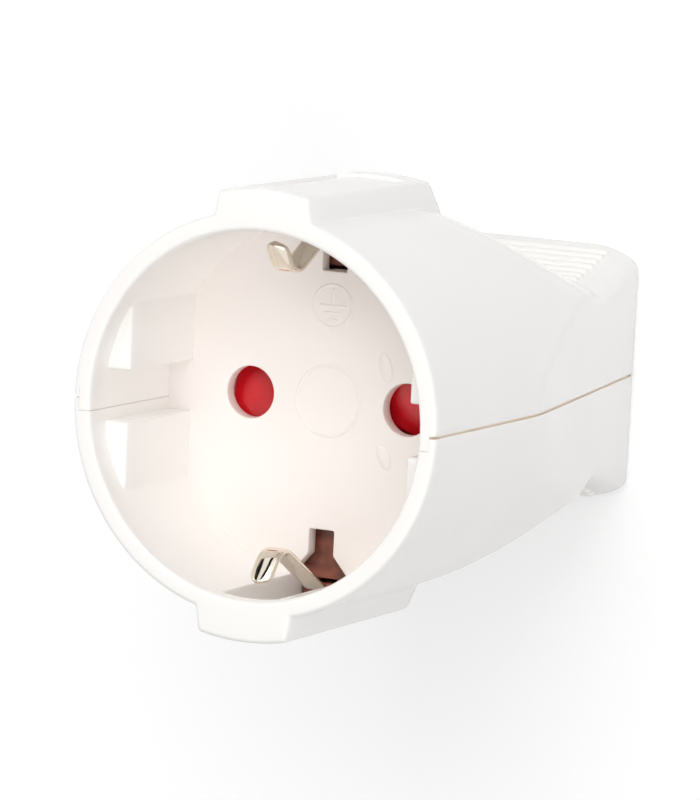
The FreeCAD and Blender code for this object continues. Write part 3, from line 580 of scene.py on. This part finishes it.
def shell_rows(angles, inner_edge, panel):
    """Closed loop of rows round a shell's wall: out of the rim, down the skin, and back up the inside."""
    rows = []

    def add(depth, radius_of, seam_level):
        at_seam = float(radius_of(np.array([0.0]))[0])
        turned = seam_turn(angles, math.asin(seam_level / at_seam))
        rows.append((depth, turned, radius_of(turned), seam_level == HALF_SEAM))

    def skin(depth, inset):
        soften = np.zeros_like(angles)
        soften[[0, -1]] = SEAM_ROUND
        add(depth, lambda a: outer_radius(a, depth, inset + (soften if len(a) > 1 else 0), panel), HALF_SEAM)

    def plain(depth, radius, seam_level):
        add(depth, lambda a: np.full_like(a, radius), seam_level)

    def recess(depth, **features):
        add(depth, lambda a: recess_radius(a, **features), inner_edge)

    lap_radius = BODY_RADIUS - RIM_LAP_INSET
    lap_end = LENGTH - END_WALL / 2
    plain(0, lap_radius, HALF_SEAM)
    for along, inward in reversed(round_steps(ROUND_ROWS)):
        skin(RIM_ROUND * along, RIM_ROUND * inward)
    for depth in depth_rows():
        skin(depth, 0)
    for along, inward in round_steps(ROUND_ROWS):
        skin(LENGTH - TAIL_ROUND * along, TAIL_ROUND * inward)
    plain(LENGTH, CORD_ENTRY_RADIUS, HALF_SEAM)
    plain(lap_end, CORD_ENTRY_RADIUS, HALF_SEAM)
    plain(lap_end, CORD_ENTRY_RADIUS, inner_edge)
    plain(LENGTH - END_WALL, CORD_ENTRY_RADIUS, inner_edge)
    for depth in np.linspace(LENGTH - END_WALL, POCKET_END, INSIDE_ROWS):
        add(depth, lambda a, d=depth: skin_radius(a, d, WALL), inner_edge)
    recess(POCKET_END)
    recess(FLOOR_DEPTH)
    for depth in np.linspace(FLOOR_DEPTH, LUG_FRONT + LUG_ROUND, LUG_ROWS):
        recess(depth, lugs=True)
    for along, inward in round_steps(LUG_ROUND_ROWS)[1:]:
        recess(LUG_FRONT + LUG_ROUND * along, lugs=True, lug_inset=LUG_ROUND * inward)
    recess(LUG_FRONT)
    recess(POCKET_START)
    recess(POCKET_START, pocket=False)
    for along, inward in round_steps(ROUND_ROWS):
        plain(RIM_ROUND * along, BORE_RADIUS + RIM_ROUND * inward, inner_edge)
    plain(0, lap_radius, inner_edge)
    return rows


def place_point(radius, angle, depth, level):
    """Point of a shell in metres, on the upper or the lower side of the seam."""
    return Vector((radius * math.cos(angle), level * radius * math.sin(angle), LENGTH - depth)) * MM


def lap_line(side, height, level):
    """Points along the step in the wall at the seam, from the rim to the cord entry."""
    points = []
    for depth in np.linspace(LAP_START, LENGTH - END_WALL / 2, LAP_POINTS):
        x = float(skin_radius(np.array([0.0]), depth, LAP_INSET)[0])
        points.append(Vector((side * x, level * height, LENGTH - depth)) * MM)
    return points


def lap_faces(bm, outside, inside, side, inner_edge, level):
    """Stepped face at one end of the seam, between the column's points on the outside and on the inside."""
    outer_step = [bm.verts.new(p) for p in lap_line(side, HALF_SEAM, level)]
    inner_step = [bm.verts.new(p) for p in lap_line(side, inner_edge, level)]
    faces = [bm.faces.new(outside + outer_step[::-1]), bm.faces.new(inside + inner_step)]
    outer_run = [outside[0]] + outer_step + [outside[-1]]
    inner_run = [inside[-1]] + inner_step + [inside[0]]
    for corners in zip(outer_run, outer_run[1:], inner_run[1:], inner_run):
        faces.append(bm.faces.new(corners))
    return faces


def merge_close(bm, distance=MERGE_DISTANCE):
    """Join points that lie on each other and drop the slivers between them."""
    bmesh.ops.remove_doubles(bm, verts=bm.verts, dist=distance * MM)
    bmesh.ops.dissolve_degenerate(bm, edges=bm.edges, dist=distance * MM)


def shade(mesh):
    """Smooth shading with crisp edges past an angle."""
    mesh.polygons.foreach_set("use_smooth", [True] * len(mesh.polygons))
    mesh.set_sharp_from_angle(angle=CRISP_ANGLE)
    return mesh


def shell_mesh(name, level, inner_edge, panel):
    """One shell as a closed mesh: its rows joined all round, and a lapped face at each end of the seam."""
    angles = column_angles()
    rows = shell_rows(angles, inner_edge, panel)
    bm = bmesh.new()
    grid = []
    for depth, turned, radii, _ in rows:
        grid.append([bm.verts.new(place_point(r, a, depth, level)) for r, a in zip(radii, turned)])
    for row, following in zip(grid, grid[1:] + grid[:1]):
        for i in range(len(angles) - 1):
            bm.faces.new((row[i], row[i + 1], following[i + 1], following[i]))
    for column, side in ((0, 1), (-1, -1)):
        outside = [points[column] for points, row in zip(grid, rows) if row[3]]
        inside = [points[column] for points, row in zip(grid, rows) if not row[3]]
        for face in lap_faces(bm, outside, inside, side, inner_edge, level):
            # Faces of the joint take the second material: a tan of painted shade in the groove
            face.material_index = 1
    merge_close(bm)
    bmesh.ops.recalc_face_normals(bm, faces=bm.faces)
    mesh = bpy.data.meshes.new(name)
    bm.to_mesh(mesh)
    bm.free()
    return shade(mesh)


def add_object(name, data):
    """New object in the scene."""
    thing = bpy.data.objects.new(name, data)
    bpy.context.scene.collection.objects.link(thing)
    return thing


def new_piece(name, mesh, slot, body="housing", replaced=(), seam_shade=None):
    """Finished piece on its body, with the material of its slot. The CAD nodes that it replaces are hidden.

    A shell's mesh keeps its material numbers, because the faces of the joint have the seam's material, whose
    tan is painted shade.
    """
    if seam_shade is None:
        mesh.materials.clear()
    mesh.materials.append(FINISHES[slot])
    if seam_shade:
        mesh.materials.append(seam_shade)
    piece = add_object(name, mesh)
    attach(piece, body)
    if replaced:
        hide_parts(*replaced)
    return piece


def settled_mesh(holder, name):
    """Plain mesh of an object as its modifiers make it. The modifiers and the object are removed."""
    mesh = bpy.data.meshes.new_from_object(holder.evaluated_get(bpy.context.evaluated_depsgraph_get()))
    holder.modifiers.clear()
    bpy.data.objects.remove(holder)
    mesh.name = name
    return mesh


def plain_mesh(source, name, modifier_kind, **settings):
    """Mesh with one modifier applied, left as a plain mesh."""
    holder = add_object(name, source)
    modifier = holder.modifiers.new(name, modifier_kind)
    for key, value in settings.items():
        setattr(modifier, key, value)
    return settled_mesh(holder, name)


def softened_copy(node, name, width, rim_start=math.inf, rim_radius=0):
    """Copy of a CAD node with its triangles joined and its edges rounded.

    Points past the start of its rim are moved out to the rim's radius, and the edges between them stay crisp.
    """
    bm = bmesh.new()
    bm.from_mesh(NODES[node].data)
    bmesh.ops.remove_doubles(bm, verts=bm.verts, dist=WELD_DISTANCE * MM)
    weights = bm.edges.layers.float.new("bevel_weight_edge")
    for edge in bm.edges:
        crisp = edge.is_manifold and edge.calc_face_angle() > BEVEL_ANGLE
        on_rim = all(vert.co.xy.length > rim_start * MM for vert in edge.verts)
        edge[weights] = 1.0 if crisp and not on_rim else 0.0
    for vert in bm.verts:
        if vert.co.xy.length > rim_start * MM:
            vert.co.xy *= rim_radius * MM / vert.co.xy.length
    joined = bpy.data.meshes.new(name)
    bm.to_mesh(joined)
    bm.free()
    return shade(plain_mesh(joined, name, "BEVEL", width=width * MM, segments=3, limit_method="WEIGHT",
                            use_clamp_overlap=False, miter_outer="MITER_ARC"))


def turned_form(profile, centre, axis, steps=48):
    """Closed mesh from a profile of radius and height turned about an axis through a point."""
    bm = bmesh.new()
    turn = Z_AXIS.rotation_difference(axis).to_matrix()
    rings = []
    for radius, height in profile:
        count = steps if radius > 0 else 1
        ring = []
        for k in range(count):
            angle = 2 * math.pi * k / count
            local = Vector((radius * math.cos(angle), radius * math.sin(angle), height))
            ring.append(bm.verts.new((Vector(centre) + turn @ local) * MM))
        rings.append(ring)
    for low, high in zip(rings, rings[1:]):
        for k in range(steps):
            corners = [low[k % len(low)], low[(k + 1) % len(low)],
                       high[(k + 1) % len(high)], high[k % len(high)]]
            bm.faces.new(list(dict.fromkeys(corners)))
    return bm


def closed_ring(profile, centre, axis, steps=64):
    """Closed ring from a looped profile of radius and height."""
    return turned_form(profile + profile[:1], centre, axis, steps)


def mesh_of(name, parts):
    """One mesh from several closed forms, facing outwards."""
    whole = bmesh.new()
    for part in parts:
        bmesh.ops.remove_doubles(part, verts=part.verts, dist=FINE_WELD_DISTANCE * MM)
        bmesh.ops.recalc_face_normals(part, faces=part.faces)
        piece = bpy.data.meshes.new(name)
        part.to_mesh(piece)
        part.free()
        whole.from_mesh(piece)
        bpy.data.meshes.remove(piece)
    mesh = bpy.data.meshes.new(name)
    whole.to_mesh(mesh)
    whole.free()
    return shade(mesh)


def combined(mesh, tool, operation, name):
    """Mesh joined with a tool, or cut by it."""
    tool_object = add_object(name + "_tool", tool)
    result = plain_mesh(mesh, name, "BOOLEAN", object=tool_object, operation=operation, solver="EXACT")
    bpy.data.objects.remove(tool_object)
    bm = bmesh.new()
    bm.from_mesh(result)
    merge_close(bm)
    bm.to_mesh(result)
    bm.free()
    return result


def bored_post(radius, centre, top, hole_end, foot):
    """Post that stands on a shell's wall, with a blind hole for a screw."""
    profile = [(0, hole_end), (SCREW_BORE, hole_end), (SCREW_BORE, top),
               (radius, top), (radius, foot), (0, foot)]
    return turned_form(profile, centre, Y_AXIS)


def with_posts(mesh, posts):
    """Shell with the closed posts that stand in its wall."""
    bm = bmesh.new()
    bm.from_mesh(mesh)
    bm.from_mesh(mesh_of("posts", posts))
    bm.to_mesh(mesh)
    bm.free()
    return shade(mesh)


def upper_shell_mesh():
    """Upper shell with a bored pillar for the tip of each housing screw."""
    mesh = shell_mesh("upper_housing", 1, -LAP_DEPTH, True)
    hole_end = SCREW_HIGH.y + TIP_CLEARANCE
    places = [(side * SCREW_X, 0, SCREW_Z) for side in SIDES]
    return with_posts(mesh, [bored_post(PILLAR_RADIUS, p, PILLAR_GAP, hole_end, PILLAR_FOOT) for p in places])


def lower_shell_mesh():
    """Lower shell with a pillar and a sunk well for each housing screw, and a post for each clamp screw."""
    mesh = shell_mesh("lower_housing", -1, LAP_DEPTH + LAP_GAP, False)
    pillar = [(0, -PILLAR_GAP), (PILLAR_RADIUS, -PILLAR_GAP),
              (PILLAR_RADIUS, -PILLAR_FOOT), (0, -PILLAR_FOOT)]
    flare_end = -WELL_MOUTH - WELL_FLARE
    well = [(0, BORE_TOP), (SCREW_BORE, BORE_TOP), (SCREW_BORE, SCREW_SEAT), (WELL_RADIUS, SCREW_SEAT),
            (WELL_RADIUS, -WELL_MOUTH), (WELL_RADIUS + WELL_FLARE, flare_end), (0, flare_end)]
    hole_end = CLAMP_SCREW_LOW.y - TIP_CLEARANCE
    post_foot = WALL / 2 - float(half_height(LENGTH - CLAMP_SCREW_Z))
    pillars, wells, posts = [], [], []
    for side in SIDES:
        centre = (side * SCREW_X, 0, SCREW_Z)
        pillars.append(turned_form(pillar, centre, Y_AXIS))
        wells.append(turned_form(well, centre, Y_AXIS))
        post_centre = (side * CLAMP_SCREW_X, 0, CLAMP_SCREW_Z)
        posts.append(bored_post(CLAMP_POST_RADIUS, post_centre, CLAMP_SEAT, hole_end, post_foot))
    mesh = combined(mesh, mesh_of("pillars", pillars), "UNION", "lower_housing")
    mesh = combined(mesh, mesh_of("wells", wells), "DIFFERENCE", "lower_housing")
    return with_posts(mesh, posts)


def mark_ring(x, y, radius):
    """Low round bead in a ring on the recess floor."""
    turns = np.linspace(0, math.pi, BEAD_POINTS)
    bead = [(radius + RING_WIDTH / 2 * math.cos(t), RING_HEIGHT * math.sin(t)) for t in turns]
    bead += [(radius - RING_WIDTH / 2, -MARK_SINK), (radius + RING_WIDTH / 2, -MARK_SINK)]
    return closed_ring(bead, (x, y, LENGTH - FLOOR_DEPTH), Z_AXIS)


def mark_span(start, end):
    """Middle of a mark on the recess floor, and the way from its start to its end."""
    x, y = ((a + b) / 2 for a, b in zip(start, end))
    return Vector((x, y, LENGTH - FLOOR_DEPTH)), Vector((end[0] - start[0], end[1] - start[1], 0))


def mark_bar(start, end):
    """Low round bar on the recess floor: a ball with its halves drawn apart, then flattened."""
    middle, along = mark_span(start, end)
    turn = Z_AXIS.rotation_difference(along).to_matrix()
    bm = bmesh.new()
    bmesh.ops.create_uvsphere(bm, u_segments=16, v_segments=12, radius=1.0)
    for vert in bm.verts:
        local = vert.co * (RING_WIDTH / 2)
        if abs(vert.co.z) > BAR_MIDDLE_BAND:
            local.z += math.copysign(along.length / 2, vert.co.z)
        flat = turn @ local
        flat.z *= RING_HEIGHT / (RING_WIDTH / 2)
        vert.co = (flat + middle) * MM
    return bm


def mark_leaf(start, end):
    """Low leaf-shaped ridge on the recess floor between two points."""
    middle, along = mark_span(start, end)
    turn = X_AXIS.rotation_difference(along).to_matrix()
    bm = bmesh.new()
    bmesh.ops.create_uvsphere(bm, u_segments=32, v_segments=24, radius=1.0)
    for vert in bm.verts:
        x, y, z = vert.co
        local = Vector((x * along.length / 2, y * LEAF_HALF_WIDTH, z * LEAF_HEIGHT))
        vert.co = (turn @ local + middle) * MM
    return bm


def earth_sign():
    """Earth sign in its ring: a stem over three bars, each shorter than the one above."""
    parts = [mark_ring(0, EARTH_RING_Y, EARTH_RING_RADIUS)]
    parts.append(mark_bar((0, EARTH_RING_Y + EARTH_STEM), (0, EARTH_RING_Y)))
    for drop, half in EARTH_BARS:
        parts.append(mark_bar((-half, EARTH_RING_Y - drop), (half, EARTH_RING_Y - drop)))
    return mesh_of("earth_sign", parts)


def folded_line(points, bends):
    """Points along a folded line whose corners are round bends, close together along each bend."""
    line = [points[0]]
    for before, corner, after, bend in zip(points, points[1:], points[2:], bends):
        back = (before - corner).normalized()
        ahead = (after - corner).normalized()
        half = back.angle(ahead) / 2
        centre = corner + (back + ahead).normalized() * (bend / math.sin(half))
        start = corner + back * (bend / math.tan(half)) - centre
        end = corner + ahead * (bend / math.tan(half)) - centre
        for step in range(BEND_STEPS + 1):
            line.append(centre + bend * start.slerp(end, step / BEND_STEPS).normalized())
    return line + [points[-1]]


def clip_line():
    """Middle line of an arm, as height and Z: a nose, a sprung crest, and a run to the bridge's pad."""
    corners = [(ARM_Y - CLIP_TIP_REACH, LENGTH - CLIP_TIP_DEPTH),
               (ARM_Y - CLIP_CREST_REACH, LENGTH - CLIP_CREST_DEPTH),
               (ARM_Y, LENGTH - CLIP_HEEL_DEPTH), (ARM_Y, BRIDGE_Z), (PAD_RADIUS - PAD_LAP, BRIDGE_Z)]
    bends = (CREST_BEND_RADIUS, STRIP_BEND_RADIUS, STRIP_BEND_RADIUS)
    line = folded_line([Vector(corner) for corner in corners], bends)
    nose_end = line[0] + (line[1] - line[0]).normalized() * STRIP_HALF_WIDTH
    turns = np.linspace(0, math.pi / 2, NOSE_POINTS)
    return [line[0].lerp(nose_end, 1 - math.cos(t)) for t in turns] + line[1:]


def clip_arm(level):
    """One arm of the earth strip, with rounded edges and a rounded, crowned tip."""
    line = clip_line()
    columns = np.array([-u for u in reversed(STRIP_COLUMN_SHARES)] + [0] + STRIP_COLUMN_SHARES)
    bm = bmesh.new()
    rings = []
    travelled = 0.0
    for number, point in enumerate(line):
        ahead = line[min(number + 1, len(line) - 1)] - line[max(number - 1, 0)]
        normal = Vector((ahead.y, -ahead.x)).normalized()
        travelled += (point - line[max(number - 1, 0)]).length
        share = min(travelled / STRIP_HALF_WIDTH, 1)
        half = STRIP_HALF_WIDTH * math.sqrt(1 - (1 - share) ** 2)
        crown = CLIP_CROWN * max(1 - travelled / CROWN_LENGTH, 0)
        ring = []
        for face in (1, -1):
            for u in columns[::face][:-1]:
                surface = face * STRIP_THICKNESS / 2 * math.sqrt(max(1 - abs(u) ** STRIP_EDGE_POWER, 0))
                drop = crown * (half / STRIP_HALF_WIDTH * u) ** 2
                place = point + normal * (surface - drop)
                ring.append(bm.verts.new(Vector((half * u, level * place.x, place.y)) * MM))
        rings.append(ring)
    for low, high in zip(rings, rings[1:]):
        for k in range(len(low)):
            after = (k + 1) % len(low)
            bm.faces.new((low[k], low[after], high[after], high[k]))
    bm.faces.new(rings[0])
    bm.faces.new(rings[-1])
    merge_close(bm, WELD_DISTANCE)
    return bm


def earth_strip():
    """Both arms of the earth strip and the pad that joins them under the carrier screw."""
    top, bottom = STRIP_THICKNESS / 2, -STRIP_THICKNESS / 2
    pad = [(SCREW_BORE, bottom), (PAD_RADIUS, bottom), (PAD_RADIUS, top), (SCREW_BORE, top)]
    return mesh_of("earth_clips", [clip_arm(1), clip_arm(-1), closed_ring(pad, (0, 0, BRIDGE_Z), Z_AXIS)])


def rectangle(half_width, low, high):
    """Corners of a rectangle that is centred across."""
    return [(-half_width, low), (half_width, low), (half_width, high), (-half_width, high)]


def strip_guide(level):
    """Frame of the carrier's moulding that an arm of the earth strip passes through."""
    room = STRIP_THICKNESS / 2 + GUIDE_GAP
    outer = rectangle(GUIDE_HALF_WIDTH, GUIDE_START, GUIDE_END)
    inner = rectangle(STRIP_HALF_WIDTH + GUIDE_GAP, ARM_Y - room, ARM_Y + room)
    bm = bmesh.new()
    loops = []
    for z in (GUIDE_FRONT, GUIDE_FRONT - GUIDE_THICKNESS):
        for corners in (outer, inner):
            loops.append([bm.verts.new(Vector((x, level * y, z)) * MM) for x, y in corners])
    for first, second in ((0, 1), (1, 3), (3, 2), (2, 0)):
        for k in range(len(outer)):
            after = (k + 1) % len(outer)
            bm.faces.new((loops[first][k], loops[first][after], loops[second][after], loops[second][k]))
    return bm


def strip_guides():
    """Guides of both arms, with soft edges."""
    guides = mesh_of("strip_guides", [strip_guide(1), strip_guide(-1)])
    return plain_mesh(guides, "strip_guides", "BEVEL", width=SMALL_EDGE_ROUND * MM, segments=2)


def rib_tree(material):
    """Node tree that lays round-ended ribs at an even pitch along the flare of a grip, from the tail up."""
    tree = bpy.data.node_groups.new("grip_ribs", "GeometryNodeTree")
    kinds = {"Tail": "Vector", "Tail handle": "Vector", "Waist handle": "Vector", "Waist": "Vector",
             "Count": "Int", "Pitch": "Float", "End margin": "Float", "Half length": "Float",
             "Radius": "Float"}
    ids = {}
    for label, kind in kinds.items():
        socket = tree.interface.new_socket(name=label, in_out="INPUT", socket_type="NodeSocket" + kind)
        ids[label] = socket.identifier
    tree.interface.new_socket(name="Ribs", in_out="OUTPUT", socket_type="NodeSocketGeometry")
    size = add_node(tree, "NodeGroupInput").outputs

    # Seats of the ribs, from the end margin up the flare
    flare = add_node(tree, "GeometryNodeCurvePrimitiveBezierSegment", {
        "Resolution": 96, "Start": size["Tail"], "Start Handle": size["Tail handle"],
        "End Handle": size["Waist handle"], "End": size["Waist"]}, mode="POSITION")
    spans = add_node(tree, "ShaderNodeMath", {0: size["Count"], 1: 1.0}, operation="SUBTRACT")
    far = add_node(tree, "ShaderNodeMath", {
        0: spans.outputs[0], 1: size["Pitch"], 2: size["End margin"]}, operation="MULTIPLY_ADD")
    ribbed = add_node(tree, "GeometryNodeTrimCurve", {
        0: flare.outputs["Curve"], 4: size["End margin"], 5: far.outputs[0]}, mode="LENGTH")
    seats = add_node(tree, "GeometryNodeResampleCurve", {
        "Curve": ribbed.outputs["Curve"], "Count": size["Count"]})

    # One rib: a ball on its side, with its halves drawn apart from a narrow middle band
    ball = add_node(tree, "GeometryNodeMeshUVSphere", {"Segments": 20, "Rings": 12, "Radius": size["Radius"]})
    lying = add_node(tree, "GeometryNodeTransform", {
        "Geometry": ball.outputs["Mesh"], "Rotation": (0.0, math.pi / 2, 0.0)})
    position = add_node(tree, "GeometryNodeInputPosition")
    across = add_node(tree, "ShaderNodeSeparateXYZ", {0: position.outputs[0]})
    scaled = add_node(tree, "ShaderNodeMath", {
        0: across.outputs["X"], 1: per_metre(RIB_MIDDLE_BAND)}, operation="MULTIPLY")
    whole = add_node(tree, "ShaderNodeMath", {0: scaled.outputs[0]}, operation="ROUND")
    half = add_node(tree, "ShaderNodeMath", {0: whole.outputs[0]}, operation="SIGN")
    straight = add_node(tree, "ShaderNodeMath", {
        0: size["Half length"], 1: size["Radius"]}, operation="SUBTRACT")
    shift = add_node(tree, "ShaderNodeMath", {
        0: half.outputs[0], 1: straight.outputs[0]}, operation="MULTIPLY")
    offset = add_node(tree, "ShaderNodeCombineXYZ", {"X": shift.outputs[0]})
    rib = add_node(tree, "GeometryNodeSetPosition", {
        "Geometry": lying.outputs["Geometry"], "Offset": offset.outputs[0]})

    # All ribs as plain geometry
    laid = add_node(tree, "GeometryNodeInstanceOnPoints", {
        "Points": seats.outputs["Curve"], "Instance": rib.outputs["Geometry"]})
    real = add_node(tree, "GeometryNodeRealizeInstances", {"Geometry": laid.outputs["Instances"]})
    smooth = add_node(tree, "GeometryNodeSetShadeSmooth", {"Geometry": real.outputs["Geometry"]})
    dressed = add_node(tree, "GeometryNodeSetMaterial", {
        "Geometry": smooth.outputs["Geometry"], "Material": material})
    add_node(tree, "NodeGroupOutput", {"Ribs": dressed.outputs["Geometry"]})
    return tree, ids


def grip_ribs(name, level, tree, ids):
    """Ribs of the upper or lower grip as a plain mesh."""
    sizes = {"Count": RIB_COUNT, "Pitch": RIB_PITCH * MM, "End margin": RIB_END_MARGIN * MM,
             "Half length": RIB_HALF_LENGTH * MM, "Radius": RIB_RADIUS * MM}
    for label, (depth, height) in zip(("Waist", "Waist handle", "Tail handle", "Tail"), flare_poles()):
        sizes[label] = Vector((0, level * (height - RIB_SINK), LENGTH - depth)) * MM
    holder = add_object(name, bpy.data.meshes.new(name))
    modifier = holder.modifiers.new(name, "NODES")
    modifier.node_group = tree
    for label, value in sizes.items():
        modifier[ids[label]] = value
    return settled_mesh(holder, name)


def make_camera():
    """Long lens at the photograph's angle: over the mouth, turned to the right, with +Y up."""
    data = bpy.data.cameras.new("camera")
    data.lens = VIEW_LENS
    data.sensor_width = VIEW_SENSOR
    data.clip_end = VIEW_END * MM
    camera = add_object("camera", data)
    turn = Matrix.Rotation(VIEW_YAW, 4, "Y") @ Matrix.Rotation(-VIEW_PITCH, 4, "X")
    turn = turn @ Matrix.Rotation(VIEW_ROLL, 4, "Z")
    back = turn @ Vector((0, 0, VIEW_DISTANCE * MM))
    camera.matrix_world = Matrix.Translation(Vector(VIEW_TARGET) * MM + back) @ turn
    bpy.context.scene.camera = camera


def facing(height, direction, distance):
    """Place that stands off in a direction from a point of the part's axis, and faces that point."""
    away = Vector(direction).normalized()
    turn = away.to_track_quat("Z", "Y").to_matrix().to_4x4()
    return Matrix.Translation(Vector((0, 0, height * MM)) + away * distance) @ turn


def soft_box(name, direction, watts):
    """Square lamp that faces the middle of the part."""
    data = bpy.data.lights.new(name, "AREA")
    data.shape = "SQUARE"
    data.size = LAMP_SIZE
    data.energy = watts
    lamp = add_object(name, data)
    lamp.matrix_world = facing(LENGTH / 2, direction, LAMP_DISTANCE)


def seen_direct(tree):
    """1 for rays that show the surroundings themselves, straight or by way of a gloss or a clear part."""
    path = add_node(tree, "ShaderNodeLightPath").outputs
    mirrored = add_node(tree, "ShaderNodeMath", {
        0: path["Is Glossy Ray"], 1: path["Is Transmission Ray"]}, operation="MAXIMUM")
    seen = add_node(tree, "ShaderNodeMath", {
        0: path["Is Camera Ray"], 1: mirrored.outputs["Value"]}, operation="MAXIMUM")
    return seen.outputs["Value"]


def make_light():
    """White surroundings that give little light of their own, and the square lamps."""
    world = bpy.data.worlds.new("studio")
    bpy.context.scene.world = world
    world.use_nodes = True
    tree = world.node_tree
    tree.nodes.clear()
    sky = add_node(tree, "ShaderNodeMapRange", {
        "Value": seen_direct(tree), "To Min": SKY_LEVEL, "To Max": 1.0})
    background = add_node(tree, "ShaderNodeBackground", {
        "Color": rgb("#ffffff"), "Strength": sky.outputs["Result"]})
    add_node(tree, "ShaderNodeOutputWorld", {"Surface": background.outputs["Background"]})
    for name, direction, watts in LAMPS:
        soft_box(name, direction, watts)


def flat_card(name, width, height, material):
    """Flat rectangle about the origin, in metres."""
    mesh = bpy.data.meshes.new(name)
    corners = rectangle(width / 2, -height / 2, height / 2)
    mesh.from_pydata([(x, y, 0) for x, y in corners], [], [(0, 1, 2, 3)])
    mesh.materials.append(material)
    return add_object(name, mesh)


def dark_flag(name, direction, width):
    """Dark card beside the part that paints a dark reflection: it shows only as a stripe in bright metal, and
    casts no shadow.
    """
    material, tree = blank_material(name + "_cloth")
    weave = add_node(tree, "ShaderNodeTexNoise", {"Scale": per_metre(FLAG_WEAVE)})
    cloth = add_node(tree, "ShaderNodeMixRGB", {
        "Fac": weave.outputs["Fac"], 1: rgb("#0c0c0c"), 2: rgb("#1c1a19")})
    dull = add_node(tree, "ShaderNodeBsdfDiffuse", {"Color": cloth.outputs["Color"]})
    finish_material(material, dull.outputs["BSDF"])
    flag = flat_card(name, width, FLAG_HEIGHT, material)
    flag.data.transform(facing(LENGTH, direction, FLAG_DISTANCE))
    flag.visible_camera = False
    flag.visible_diffuse = False
    flag.visible_shadow = False
    flag.visible_transmission = False


def make_floor():
    """White paper under the part that takes its shadow, and fades to plain white further off."""
    material, tree = blank_material("white_paper_sweep")
    paper = add_node(tree, "ShaderNodeBsdfDiffuse", {"Color": rgb("#f6f6f6")})
    glow = add_node(tree, "ShaderNodeEmission", {"Color": rgb("#ffffff"), "Strength": PAPER_GLOW})
    lit = add_node(tree, "ShaderNodeAddShader", {0: paper.outputs["BSDF"], 1: glow.outputs["Emission"]})
    bounce = add_node(tree, "ShaderNodeBsdfDiffuse", {"Color": rgb("#e4e5e8")})
    place = add_node(tree, "ShaderNodeTexCoord")
    away = add_node(tree, "ShaderNodeVectorMath", {0: place.outputs["Object"]}, operation="LENGTH")
    far = add_node(tree, "ShaderNodeMapRange", {
        "Value": away.outputs["Value"], "From Min": PAPER_NEAR, "From Max": PAPER_FAR})
    white = add_node(tree, "ShaderNodeEmission", {"Color": rgb("#ffffff"), "Strength": 1.0})
    sweep = add_node(tree, "ShaderNodeMixShader", {
        "Fac": far.outputs["Result"], 1: lit.outputs["Shader"], 2: white.outputs["Emission"]})
    seen = add_node(tree, "ShaderNodeMixShader", {
        "Fac": seen_direct(tree), 1: bounce.outputs["BSDF"], 2: sweep.outputs["Shader"]})
    floor = flat_card("floor", PAPER_SIZE, PAPER_SIZE, finish_material(material, seen.outputs["Shader"]))


# Shells and their grips
# Tan of painted shade for the faces of the joint between the shells
seam_shade = seam_shade_abs()
new_piece("upper_housing", upper_shell_mesh(), "housing_abs", replaced=["upper_shell"], seam_shade=seam_shade)
new_piece("lower_housing", lower_shell_mesh(), "housing_abs", replaced=["lower_shell"], seam_shade=seam_shade)
ribs, rib_inputs = rib_tree(FINISHES["housing_abs"])
for half, level in (("upper", 1), ("lower", -1)):
    new_piece(half + "_grip_ribs", grip_ribs(half + "_grip_ribs", level, ribs, rib_inputs), "housing_abs")

# Recess floor, its marks, and what shows through its holes and slots
base_mesh = softened_copy("contact_base", "recess_floor", FLOOR_EDGE_ROUND,
                          BORE_RADIUS - FLOOR_RIM_BAND, BORE_RADIUS + FLOOR_RIM_FIT)
new_piece("recess_floor", base_mesh, "insert_abs", replaced=["contact_base"])
new_piece("centre_ring", mesh_of("centre_ring", [mark_ring(0, 0, CENTRE_RING_RADIUS)]), "insert_abs")
new_piece("earth_sign", earth_sign(), "insert_abs")
new_piece("floor_leaves", mesh_of("floor_leaves", [mark_leaf(*ends) for ends in LEAVES]), "insert_abs")
shutter_mesh = softened_copy("shutter", "red_shutter", SMALL_EDGE_ROUND,
                             SHUTTER_RADIUS - SHUTTER_RIM_BAND, SHUTTER_RADIUS + SHUTTER_RIM_REACH)
new_piece("red_shutter", shutter_mesh, "shutter_plastic", body="shutter", replaced=["shutter"])
new_piece("earth_clips", earth_strip(), "nickel", replaced=["earth_contact"])
new_piece("strip_guides", strip_guides(), "phenolic")

# Housing screws
for hand in ("left", "right"):
    screw_mesh = softened_copy("housing_screw_" + hand, "shell_screw_" + hand, SMALL_EDGE_ROUND)
    new_piece("shell_screw_" + hand, screw_mesh, "zinc_steel", replaced=["housing_screw_" + hand])

# Studio
make_camera()
make_light()
make_floor()
for flag in FLAGS:
    dark_flag(*flag)
bpy.context.scene.view_settings.view_transform = "Standard"
